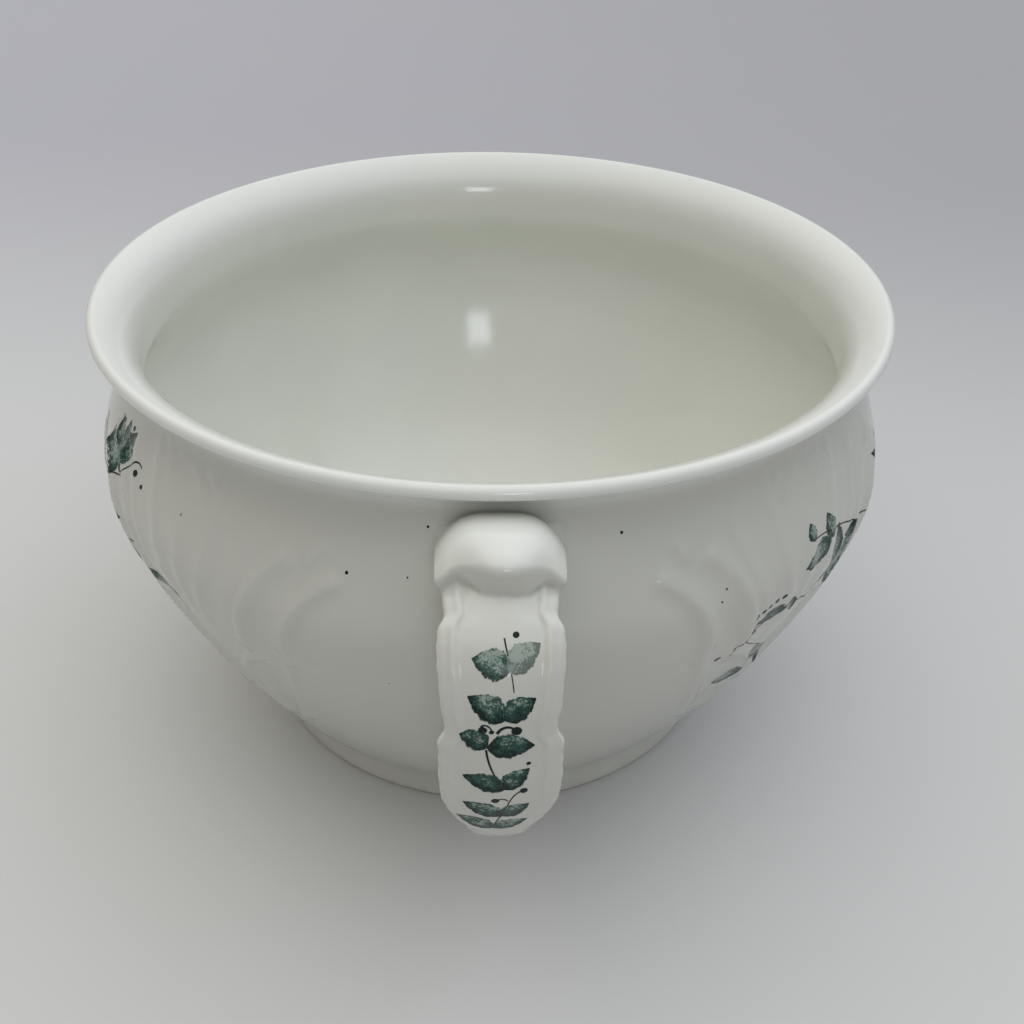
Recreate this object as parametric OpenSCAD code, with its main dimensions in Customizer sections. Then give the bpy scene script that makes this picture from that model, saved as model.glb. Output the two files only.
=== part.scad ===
// Chamber pot in glazed earthenware: a moulded bowl with a flared lip, a floor, a foot ring
// and a scalloped strap handle stuck on with slip. The axis of the bowl is Z, the pot stands
// on z = 0 and the handle points to -Y.

/* [Bowl] */
// Outer radius of the lip
rim_r = 117.5; // [95:0.5:140]
// Height of the pot from the table to the top of the lip
height = 143; // [120:0.5:180]
// Outer radius of the belly at its widest
belly_r = 118.6; // [100:0.1:140]
// Height of the widest part of the belly
belly_z = 98.5; // [80:0.5:110]
// Outer radius of the neck under the lip
neck_r = 109.3; // [95:0.1:120]
// How far the neck lies below the top of the lip
neck_drop = 14; // [10:0.5:20]
// Thickness of the wall
wall = 5.5; // [4:0.1:8]
// Thickness of the lip at its rolled edge
lip_t = 4.4; // [2.5:0.1:6]
// Rise of the flared lip above the level, in degrees
lip_angle = 22; // [15:1:50]

/* [Floor and foot] */
// Outer radius of the foot ring where it stands
foot_r = 74; // [60:0.5:90]
// Height of the foot ring
foot_h = 9.5; // [6:0.5:14]
// Width of the foot ring
foot_w = 8; // [5:0.5:12]
// Taper of the foot ring from its bottom to its top, on the radius
foot_taper = 1.2; // [0:0.1:3]
// Radius of the rounded edges of the foot ring
foot_edge = 1.2; // [0.5:0.1:2]
// How far the belly's heel stands out past the foot ring
heel_out = 5; // [2:0.5:10]
// How far the belly's heel lies above the foot ring
heel_up = 5; // [3:0.5:9]
// Thickness of the floor
floor_t = 7; // [5:0.5:10]
// How far the floor piece's edge lies inside the foot ring
floor_inset = 4; // [2:0.5:10]
// How far the floor's curve up to the wall reaches in from the floor piece's edge
floor_curve = 12; // [6:0.5:20]

/* [Relief] */
// How far the moulded ornament stands out of the belly
relief_h = 0.9; // [0.4:0.1:1.5]
// Width of a ridge
ridge_w = 3; // [2:0.1:4]
// Half of a panel's width, seen straight on, between the bars at its sides
panel_half = 54.5; // [48:0.5:58]
// Length of the bar at each side of a panel
bar_length = 36; // [28:1:40]
// How far the bars' upper ends lie below the widest belly
bar_drop = 20; // [16:0.5:26]
// Radius of the scroll that rounds a panel's upper corner
inner_scroll_r = 27; // [22:0.5:32]
// Radius of the second scroll, outside it
outer_scroll_r = 33; // [28:0.5:38]
// Width of the hollow between the two scrolls
scroll_gap = 12; // [8:0.5:14]
// How far the scrolls' centre lies below the widest belly
scroll_drop = 11.5; // [6:0.5:16]
// Radius of the leaf beside each bar
side_leaf_r = 24; // [20:0.5:28]
// How far the side leaf swells out past the bar
side_leaf_out = 15.5; // [10:0.5:18]
// How far the side leaf's centre lies below the widest belly
side_leaf_drop = 39.5; // [36:0.5:44]
// Number of upright ridges between two panels
flutes = 3; // [1:1:4]
// Distance along the belly between two upright ridges
flute_gap = 11; // [9:0.5:12]
// Length of the upright ridges
flute_length = 30; // [20:1:34]
// How far the upright ridges reach above the widest belly
flute_rise = 18; // [10:0.5:20]
// Radius of the crescent over each upright ridge
crescent_r = 3.6; // [3:0.1:4]

/* [Handle] */
// How far the strap's face stands out past the belly
handle_reach = 28.9; // [24:0.1:40]
// Thickness of the strap at its middle
strap_t = 7; // [5:0.5:9]
// Width of the strap at its scallops
strap_w = 29; // [24:0.5:34]
// Depth of a scallop in each edge of the strap
scallop_depth = 1.7; // [0.5:0.1:3]
// Distance along the strap from its upper end to the first scallop
scallop_first = 31; // [26:0.5:36]
// Distance along the strap from one scallop to the next
scallop_pitch = 29; // [20:0.5:40]
// Number of scallops in each edge of the strap
scallops = 2; // [1:1:3]
// Distance along the strap from its upper end to where it starts to narrow
taper_first = 76; // [70:0.5:90]
// Length over which the strap narrows
taper_length = 27; // [20:0.5:40]
// How much the strap narrows on each side
end_taper = 6; // [2:0.5:8]
// How far the raised rails stand out of the strap's panel
rail_h = 0.7; // [0.3:0.1:1.2]
// Width of the edge outside each rail
rail_edge = 2.4; // [1.5:0.1:4]
// Width of each rail
rail_w = 2.6; // [1.5:0.1:4]
// Height of the strap's lower end on the belly
handle_low_z = 40; // [34:0.5:56]
// Width of the leaf on the top of the handle
leaf_w = 30.4; // [26:0.2:36]
// How far the tip of the leaf's tongue stands up over the strap
tongue_lift = 6.3; // [4:0.1:9]
// Thickness of the slip between the handle and the belly
lute_t = 0.8; // [0.4:0.1:1.5]
// How far the slip is squeezed out round the handle's ends
lute_proud = 1.4; // [0.5:0.1:2.5]

/* [Hidden] */
$fn = 180;
panels = 4;

glaze = [0.90, 0.90, 0.86];
bare_clay = [0.85, 0.82, 0.74];
slip = [0.88, 0.87, 0.82];

function bez(p, t) =
    pow(1 - t, 3) * p[0] + 3 * pow(1 - t, 2) * t * p[1] + 3 * (1 - t) * t * t * p[2] + pow(t, 3) * p[3];
function bez_slope(p, t) =
    3 * pow(1 - t, 2) * (p[1] - p[0]) + 6 * (1 - t) * t * (p[2] - p[1]) + 3 * t * t * (p[3] - p[2]);
function unit(v) = v / norm(v);
function along(a) = [cos(a), sin(a)];
function steps(n) = [for (i = [0:n]) i / n];

// Outline of the bowl, as radius and height
neck_z = height - neck_drop;
bead_r = lip_t / 2;
bead = [rim_r - bead_r, height - bead_r];
heel = [foot_r + heel_out, foot_h + heel_up];
lip_dir = along(lip_angle);
lip_side = along(lip_angle - 90);
heel_angle = 44;
heel_dir = along(heel_angle);
foot_top_r = foot_r - foot_taper;
floor_r = foot_r - foot_w - floor_inset;
floor_z = foot_h + floor_t;

// Reach of each curve's tangents
lip_pull = 6.5;
heel_turn = 3;
heel_lift = 0.3;
heel_pull = 12;
belly_pull = 20;
shoulder_pull = 11;
neck_pull = 5;
inner_lip_pull = 11;
inner_neck_pull = 8;
inner_pull = 16;
floor_pull = 34;

heel_curve = [[foot_top_r, foot_h], [foot_top_r + heel_out / 2, foot_h + heel_lift],
    heel - heel_turn * heel_dir, heel];
lower_curve = [heel, heel + heel_pull * heel_dir, [belly_r, belly_z - belly_pull], [belly_r, belly_z]];
upper_curve = [[belly_r, belly_z], [belly_r, belly_z + shoulder_pull], [neck_r, neck_z - neck_pull],
    [neck_r, neck_z]];
flare_curve = [[neck_r, neck_z], [neck_r, neck_z + neck_pull],
    bead + bead_r * lip_side - lip_pull * lip_dir, bead + bead_r * lip_side];
outer_curves = [heel_curve, lower_curve, upper_curve, flare_curve];
outer_steps = [4, 10, 6, 5];

function outer_at(c, t, out = 0) =
    let (d = unit(bez_slope(outer_curves[c], t)))
    bez(outer_curves[c], t) + out * [d[1], -d[0]];
function outer_line(first, last, out = 0) =
    [for (c = [first:last]) for (i = [(c == first ? 0 : 1):outer_steps[c]])
        outer_at(c, i / outer_steps[c], out)];
belly_table = [for (p = outer_line(1, 2)) [p[1], p[0]]];
function belly_r_at(z) = lookup(z, belly_table);

// The neck is narrowest lower down inside than outside
inner_neck_drop = 6;
inner_neck = [neck_r - wall, neck_z - inner_neck_drop];
inner_belly = [belly_r - wall, belly_z];
floor_edge = [floor_r - floor_curve, floor_z];
inner_flare = [bead - bead_r * lip_side, bead - bead_r * lip_side - inner_lip_pull * lip_dir,
    inner_neck + [0, inner_neck_pull], inner_neck];
inner_upper = [inner_neck, inner_neck - [0, neck_pull], inner_belly + [0, shoulder_pull], inner_belly];
inner_lower = [inner_belly, inner_belly - [0, inner_pull], floor_edge + [floor_pull, 0], floor_edge];
bead_arc = [for (a = [lip_angle - 60:30:lip_angle + 60]) bead + bead_r * along(a)];
inner_line = concat([for (t = steps(5)) bez(inner_flare, t)], [for (i = [1:6]) bez(inner_upper, i / 6)],
    [for (i = [1:12]) bez(inner_lower, i / 12)]);

module bowl_section() {
    polygon(concat([[0, foot_h]], outer_line(0, 3), bead_arc, inner_line, [[0, floor_z]]));
}
// Band that follows the belly's outline up to the lip, from one distance off its surface to another
module belly_band(inside, outside) {
    back = outer_line(1, 3, inside);
    polygon(concat(outer_line(1, 3, outside), [for (i = [len(back) - 1:-1:0]) back[i]]));
}
// Solid bowl, swollen by a distance, that trims what is stuck on it
module belly_core(out) {
    line = outer_line(0, 3, out);
    rotate_extrude() polygon(concat([[0, foot_h]], line, [[0, line[len(line) - 1][1]]]));
}
// Turns a shape drawn upright at the origin to face outward at a place round the belly
module on_belly(angle, z) {
    rotate(angle) translate([0, 0, z]) rotate([90, 0, 0]) children();
}
// Ridges start well inside the belly and pass through its skin
ridge_from = belly_r * 0.6;
ridge_depth = belly_r * 0.5;
module arc_band(r, from, to) {
    translate([0, 0, ridge_from]) rotate(from) rotate_extrude(angle = to - from)
        translate([r - ridge_w / 2, 0]) square([ridge_w, ridge_depth]);
}
module round_bar(length) {
    translate([0, 0, ridge_from]) linear_extrude(ridge_depth) {
        translate([-ridge_w / 2, 0]) square([ridge_w, length]);
        circle(d = ridge_w);
        translate([0, length]) circle(d = ridge_w);
    }
}
// Angle round the axis of a distance along the widest belly
function belly_angle(x) = x / belly_r * 180 / PI;

inner_arc = [-16, 68];
outer_arc = [-14, 60];
side_leaf_arc = [-52, 50];
crescent_arc = [25, 155];
module panel_scrolls() {
    for (side = [0, 1]) mirror([side, 0, 0]) {
        on_belly(0, belly_z - scroll_drop) {
            translate([panel_half - inner_scroll_r, 0])
                arc_band(inner_scroll_r, inner_arc[0], inner_arc[1]);
            translate([panel_half + scroll_gap - outer_scroll_r, 0])
                arc_band(outer_scroll_r, outer_arc[0], outer_arc[1]);
        }
        on_belly(0, belly_z - bar_drop - bar_length) translate([panel_half, 0]) round_bar(bar_length);
        on_belly(0, belly_z - side_leaf_drop) translate([panel_half + side_leaf_out - side_leaf_r, 0])
            arc_band(side_leaf_r, side_leaf_arc[0], side_leaf_arc[1]);
    }
}
// Upright ridge under a crescent
module flute() {
    round_bar(flute_length);
    translate([0, flute_length + ridge_w]) arc_band(crescent_r, crescent_arc[0], crescent_arc[1]);
}
module belly_flutes() {
    for (i = [0:flutes - 1]) {
        angle = belly_angle((i - (flutes - 1) / 2) * flute_gap);
        on_belly(180 / panels + angle, belly_z + flute_rise - flute_length) flute();
    }
}
module relief() {
    intersection() {
        rotate_extrude() belly_band(-wall / 4, relief_h);
        for (p = [0:panels - 1]) rotate(p * 360 / panels) {
            panel_scrolls();
            belly_flutes();
        }
    }
}

module bowl_wall() {
    color(glaze) union() {
        rotate_extrude() intersection() {
            bowl_section();
            translate([floor_r, 0]) square([rim_r + belly_r, height]);
        }
        relief();
    }
}
module floor_disc() {
    color(glaze) rotate_extrude() intersection() {
        bowl_section();
        square([floor_r, height]);
    }
}
module foot_ring() {
    inside = foot_r - foot_w;
    bottom = [for (a = [180:30:270]) [inside + foot_edge, foot_edge] + foot_edge * along(a)];
    heel_round = [for (a = [-90:30:0]) [foot_r - foot_edge, foot_edge] + foot_edge * along(a)];
    color(bare_clay) rotate_extrude()
        polygon(concat([[inside, foot_h]], bottom, heel_round, [[foot_top_r, foot_h]]));
}

// Path of the strap's face, as distance from the axis and height. Both ends run into the wall, and
// are trimmed where the slip starts.
handle_sink = 5.3;
strap_drop = 3;
strap_lead = [24, 2];
bend_drop = 7;
grip_pull = 32;
tuck_in = [7.5, 8];
strap_face = belly_r + handle_reach;
strap_top = [neck_r - handle_sink, neck_z - strap_drop];
strap_end = [belly_r_at(handle_low_z) - handle_sink, handle_low_z];
strap_upper = [strap_top, strap_top + strap_lead, [strap_face, neck_z - bend_drop], [strap_face, belly_z]];
strap_lower = [[strap_face, belly_z], [strap_face, belly_z - grip_pull],
    [strap_face, handle_low_z] - tuck_in, strap_end];
strap_steps = 26;

function strap_at(s) = s < 1 ? bez(strap_upper, s) : bez(strap_lower, s - 1);
function strap_slope(s) = unit(s < 1 ? bez_slope(strap_upper, s) : bez_slope(strap_lower, s - 1));
function strap_out(s) = let (d = strap_slope(s)) [-d[1], d[0]];
function strap_length(i) =
    i == 0 ? 0 : strap_length(i - 1) + norm(strap_at(i / strap_steps) - strap_at((i - 1) / strap_steps));
// Depth of the scalloped edge: a quick shoulder at a scallop's upper end and a long taper above the next one
scallop_shoulder = 0.15;
function scallop(length) =
    let (n = (length - scallop_first) / scallop_pitch, f = n - floor(n))
    n > scallops - 1 + scallop_shoulder ? 0 :
    f < scallop_shoulder ? 1 - f / scallop_shoulder : pow((f - scallop_shoulder) / (1 - scallop_shoulder), 2);
// The strap narrows to a rounded end that runs in under the belly
taper_power = 2.3;
function narrowing(length) =
    end_taper * pow(min(1, max(0, length - taper_first) / taper_length), taper_power);
function strap_half(length) = strap_w / 2 - scallop_depth * scallop(length) - narrowing(length);
// Half of the strap's section, from the middle of its face round the edge to the middle of its back.
// The face is a crowned panel between two rails, and the back is rounded for the fingers.
panel_crown = 0.4;
panel_turn = 0.6;
rail_side = 0.3;
rail_slope = 0.8;
groove = 0.2;
edge_round = 0.6;
edge_drop = 1.6;
back_turn = 72;
function half_section(h) =
    let (rail_out = h - rail_edge, rail_in = rail_out - rail_w, side = rail_w * rail_side)
    concat(
        [[0, panel_crown], [rail_in * panel_turn, panel_crown * panel_turn], [rail_in, 0],
            [rail_in + side, rail_h], [rail_out - side, rail_h * rail_slope], [rail_out, -groove],
            [h - edge_round, -edge_round]],
        [for (a = [0:back_turn / 3:back_turn])
            [h * cos(a), -edge_drop - (strap_t - edge_drop) * sin(a) / sin(back_turn)]]);
function strap_ring(i) =
    let (s = i / strap_steps, half = half_section(strap_half(strap_length(i))), n = len(half),
        p = strap_at(s), o = strap_out(s),
        section = concat(half, [for (i = [n - 1:-1:1]) [-half[i][0], half[i][1]]]))
    [for (v = section) [v[0], -(p[0] + v[1] * o[0]), p[1] + v[1] * o[1]]];

// Faces of a closed skin over rings that are the same on both sides of their first point
function skin_faces(rings, sides) =
    let (half = (sides - 1) / 2, last = (rings - 1) * sides)
    concat(
        [for (r = [0:rings - 2]) for (i = [0:sides - 1]) for (k = [0, 1])
            let (a = r * sides + i, b = r * sides + (i + 1) % sides)
            k == 0 ? [a, b, a + sides] : [b, b + sides, a + sides]],
        [[0, sides - 1, 1], [last, last + 1, last + sides - 1]],
        [for (i = [1:half - 1]) for (k = [0:3])
            let (j = sides - i)
            [[i, j, i + 1], [i + 1, j, j - 1], [last + i, last + i + 1, last + j],
                [last + i + 1, last + j - 1, last + j]][k]]);

module strap() {
    rings = [for (i = [0:2 * strap_steps]) strap_ring(i)];
    polyhedron([for (r = rings) each r], skin_faces(len(rings), len(rings[0])), convexity = 6);
}

// Leaf on the top of the handle, whose tongue folds over the bend of the strap
leaf_rise = 2.5;
leaf_lead = [12, 3];
tongue_lead = [4, 4.5];
tongue_from = 0.46;
tongue_back = 0.8;
leaf_droop = 1.6;
leaf_root = [neck_r - handle_sink, neck_z + leaf_rise];
leaf_tip = strap_at(tongue_from) + [-tongue_back, tongue_lift];
leaf_path = [leaf_root, leaf_root + leaf_lead,
    [leaf_tip[0] - tongue_lead[0], neck_z + tongue_lead[1]], leaf_tip];
leaf_cross_steps = 16;
leaf_steps = 9;

// Share of the leaf's path that it covers at a place across it, from -1 to 1: a broad tongue in the middle
// and a short lobe near each side
lobe_end = 0.70;
tongue_half = 0.5;
side_lobe = 0.05;
side_at = 0.9;
side_half = 0.12;
function bump(x, half, power = 2) = exp(-pow(abs(x) / half, power));
function leaf_reach(u) =
    lobe_end + (1 - lobe_end) * bump(u, tongue_half, 4) + side_lobe * bump(abs(u) - side_at, side_half);
// Half of the leaf's width at a place along it: it widens from its root and draws in at its tip
root_share = 0.62;
full_at = 0.55;
tip_from = 0.6;
tip_draw = 0.22;
function leaf_half(t) =
    let (widening = root_share + (1 - root_share) * sin(90 * min(1, t / full_at)),
        past = max(0, t - tip_from) / (1 - tip_from))
    leaf_w / 2 * widening * (1 - tip_draw * past * past);
function leaf_point(u, s) =
    let (t = s * leaf_reach(u), p = bez(leaf_path, t))
    [u * leaf_half(t), -p[0], p[1] - leaf_droop * u * u];
// The leaf is rooted in the strap, half way through its thickness
leaf_seat = 0.85;
function leaf_seat_point(u, s) =
    let (t = s * leaf_reach(u), r = t * tongue_from, p = strap_at(r) - strap_t / 2 * strap_out(r))
    [u * leaf_half(t) * leaf_seat, -p[0], p[1]];
// Faces of a slab between two grids of points, the upper one first
function slab_faces(rows, cols) =
    let (n = rows * cols, rim = concat([for (c = [0:cols - 1]) c],
        [for (r = [1:rows - 1]) r * cols + cols - 1], [for (c = [cols - 2:-1:0]) n - cols + c],
        [for (r = [rows - 2:-1:1]) r * cols]))
    concat(
        [for (r = [0:rows - 2]) for (c = [0:cols - 2]) for (k = [0:3])
            let (a = r * cols + c, b = a + cols)
            [[a, a + 1, b], [a + 1, b + 1, b], [n + a, n + b, n + a + 1], [n + a + 1, n + b, n + b + 1]][k]],
        [for (i = [0:len(rim) - 1]) for (k = [0, 1])
            let (a = rim[i], b = rim[(i + 1) % len(rim)])
            k == 0 ? [b, a, n + a] : [b, n + a, n + b]]);
function leaf_grid(upper) =
    [for (s = steps(leaf_steps)) for (u = steps(leaf_cross_steps))
        upper ? leaf_point(2 * u - 1, s) : leaf_seat_point(2 * u - 1, s)];
module leaf() {
    polyhedron(concat(leaf_grid(true), leaf_grid(false)),
        slab_faces(leaf_steps + 1, leaf_cross_steps + 1), convexity = 6);
}
module handle() {
    color(glaze) difference() {
        union() {
            strap();
            leaf();
        }
        belly_core(lute_t);
    }
}

// Slip squeezed out round an end of the handle, as seen from in front of the handle
module lute_outline(half_w, low, high) {
    r = lute_proud * 2;
    for (s = [0, 1]) mirror([s, 0]) for (z = [low + r, high - r])
        translate([half_w - r, z]) circle(r);
    translate([-half_w + r, low]) square([2 * (half_w - r), high - low]);
    translate([-half_w, low + r]) square([2 * half_w, high - low - 2 * r]);
}
module lute(half_w, low, high) {
    color(slip) intersection() {
        rotate_extrude() belly_band(0, lute_t);
        rotate([90, 0, 0]) linear_extrude(strap_face)
            lute_outline(half_w + lute_proud, low - lute_proud, high + lute_proud);
    }
}
module upper_lute() {
    lute(strap_w / 2, strap_top[1] - strap_t, leaf_root[1]);
}
// The strap's lower end meets the belly on a slant
end_slant = 2;
module lower_lute() {
    lute(strap_w / 2 - end_taper, handle_low_z, handle_low_z + strap_t + end_slant);
}

bowl_wall();
floor_disc();
foot_ring();
handle();
upper_lute();
lower_lute();
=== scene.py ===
"""Looks of a glazed earthenware chamber pot: moulded bowl, strap handle and printed leaf sprays.

Sizes are in millimetres until a mesh is made. Places on the bowl are given as an angle in degrees, counted
from the handle towards +X, and a height above the table.
"""

import logging
import math
from dataclasses import dataclass, field
from enum import Enum

import bmesh
import bpy
import numpy as np
from mathutils import Matrix, Vector
from mathutils.bvhtree import BVHTree


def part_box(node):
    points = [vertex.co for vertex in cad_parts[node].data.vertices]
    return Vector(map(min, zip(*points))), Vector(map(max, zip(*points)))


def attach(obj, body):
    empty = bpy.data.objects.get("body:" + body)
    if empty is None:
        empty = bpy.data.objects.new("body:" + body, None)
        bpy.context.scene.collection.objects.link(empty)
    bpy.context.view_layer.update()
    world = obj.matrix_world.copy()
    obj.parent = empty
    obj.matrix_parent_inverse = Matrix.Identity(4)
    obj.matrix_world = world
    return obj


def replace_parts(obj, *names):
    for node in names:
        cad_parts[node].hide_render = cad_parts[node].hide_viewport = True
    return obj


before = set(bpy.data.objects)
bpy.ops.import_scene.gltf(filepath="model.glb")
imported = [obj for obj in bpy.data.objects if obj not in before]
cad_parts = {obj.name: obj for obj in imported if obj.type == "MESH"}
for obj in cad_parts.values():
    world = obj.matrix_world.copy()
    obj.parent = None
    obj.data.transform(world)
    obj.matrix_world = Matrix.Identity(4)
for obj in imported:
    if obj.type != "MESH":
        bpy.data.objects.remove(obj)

LOG = logging.getLogger("chamber_pot")
MM = 0.001
BODY = "root"
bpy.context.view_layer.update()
Colour = tuple[float, float, float]
Place = tuple[float, float]
Dot = tuple[float, float, float]


class Slot(Enum):
    """Material slots of the record."""

    GLAZE = "glaze"
    FOOT = "foot_glaze"
    SLIP = "slip"


class Motif(Enum):
    """Outlines that the print is made of."""

    LEAF = "leaf"
    BUD = "bud"


def along(degrees: float) -> np.ndarray:
    """Unit vector at an angle in the plane of radius and height."""
    return np.array([math.cos(math.radians(degrees)), math.sin(math.radians(degrees))])


def bezier(points: list, t: np.ndarray) -> np.ndarray:
    """Points on a cubic curve.

    Args:
        points: The curve's four control points.
        t: Places along the curve, from 0 to 1.

    Returns:
        One point a row.
    """
    p = np.asarray(points, float)
    s = np.asarray(t, float)[:, None]
    return (1 - s) ** 3 * p[0] + 3 * (1 - s) ** 2 * s * p[1] + 3 * (1 - s) * s**2 * p[2] + s**3 * p[3]


def chain(curves: list, counts: tuple) -> np.ndarray:
    """Points along curves that follow each other.

    Args:
        curves: Control points of each curve.
        counts: How many steps each curve gets.

    Returns:
        One point a row, with none repeated where two curves meet.
    """
    lines = [bezier(c, np.linspace(0, 1, n + 1)) for c, n in zip(curves, counts)]
    return np.concatenate([lines[0]] + [line[1:] for line in lines[1:]])


def side_of(line: np.ndarray) -> np.ndarray:
    """Unit normals on the right of a line in the plane, one for each point.

    Args:
        line: Points along the line.

    Returns:
        One unit vector a row.
    """
    d = np.gradient(line, axis=0)
    d /= np.linalg.norm(d, axis=1, keepdims=True)
    return np.stack([d[:, 1], -d[:, 0]], axis=1)


def bump(x: np.ndarray, half: float, power: float = 2.0) -> np.ndarray:
    """Bell curve that is 1 at the middle.

    Args:
        x: Distances from the middle.
        half: Distance at which the bell has fallen to 0.37.
        power: 2 for a bell, more for a flatter top.

    Returns:
        The bell's height at each distance.
    """
    return np.exp(-np.power(np.abs(x) / half, power))


def grid_faces(rows: int, cols: int, wrap_rows: bool, wrap_cols: bool, first: int = 0) -> list:
    """Four-sided faces between the points of a grid.

    Args:
        rows: Number of rows.
        cols: Number of points in a row.
        wrap_rows: Whether the last row joins the first.
        wrap_cols: Whether a row's last point joins its first.
        first: Index of the grid's first point.

    Returns:
        Four point indices a face.
    """
    r, c = np.meshgrid(np.arange(rows - (not wrap_rows)), np.arange(cols - (not wrap_cols)), indexing="ij")
    nr, nc = (r + 1) % rows, (c + 1) % cols
    quads = np.stack([r * cols + c, r * cols + nc, nr * cols + nc, nr * cols + c], axis=-1)
    return (quads.reshape(-1, 4) + first).tolist()


def slab(upper: np.ndarray, lower: np.ndarray, first: int = 0) -> tuple[np.ndarray, list]:
    """Closed slab between two grids of points.

    Args:
        upper: Grid of points, rows by columns by 3.
        lower: Grid of the same shape.
        first: Index that the slab's first point gets.

    Returns:
        The points, and the faces between them.
    """
    rows, cols = upper.shape[:2]
    n = rows * cols
    ids = np.arange(n).reshape(rows, cols)
    rim = np.concatenate([ids[0], ids[1:, -1], ids[-1, -2::-1], ids[-2:0:-1, 0]])
    faces = grid_faces(rows, cols, False, False, first)
    faces += [face[::-1] for face in grid_faces(rows, cols, False, False, first + n)]
    following = np.roll(rim, -1)
    faces += (np.stack([rim, rim + n, following + n, following], axis=1) + first).tolist()
    return np.concatenate([upper.reshape(-1, 3), lower.reshape(-1, 3)]), faces


def turned(radius: np.ndarray, height: np.ndarray, angles: np.ndarray) -> np.ndarray:
    """Points round the axis, counted from the handle's side towards +X.

    Args:
        radius: Distance from the axis, of any shape that fits angles.
        height: Height of each point.
        angles: Angles in degrees.

    Returns:
        Points, with the coordinates in the last place.
    """
    a = np.radians(angles)
    r, z, a = np.broadcast_arrays(radius, height, a)
    return np.stack([r * np.sin(a), -r * np.cos(a), z], axis=-1)


def make_mesh(name: str, points: np.ndarray, faces: list) -> bpy.types.Mesh:
    """Mesh in metres with its faces turned outward.

    Args:
        name: Name of the mesh.
        points: Points in millimetres.
        faces: Point indices of each face.

    Returns:
        The new mesh.
    """
    mesh = bpy.data.meshes.new(name)
    mesh.from_pydata((points.reshape(-1, 3) * MM).tolist(), [], faces)
    shape = bmesh.new()
    shape.from_mesh(mesh)
    bmesh.ops.recalc_face_normals(shape, faces=shape.faces)
    shape.to_mesh(mesh)
    shape.free()
    return mesh


def add_piece(
    name: str, mesh: bpy.types.Mesh, material: bpy.types.Material, sharp: float = 45.0
) -> bpy.types.Object:
    """Shows a mesh as a piece of the pot.

    Args:
        name: Name of the piece.
        mesh: Its mesh.
        material: Its material.
        sharp: Angle in degrees past which an edge stays sharp.

    Returns:
        The new object, which rides on the pot.
    """
    mesh.shade_smooth()
    mesh.set_sharp_from_angle(angle=math.radians(sharp))
    mesh.materials.append(material)
    piece = bpy.data.objects.new(name, mesh)
    bpy.context.scene.collection.objects.link(piece)
    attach(piece, BODY)
    LOG.info("piece %s: %d points", name, len(mesh.vertices))
    return piece


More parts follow.
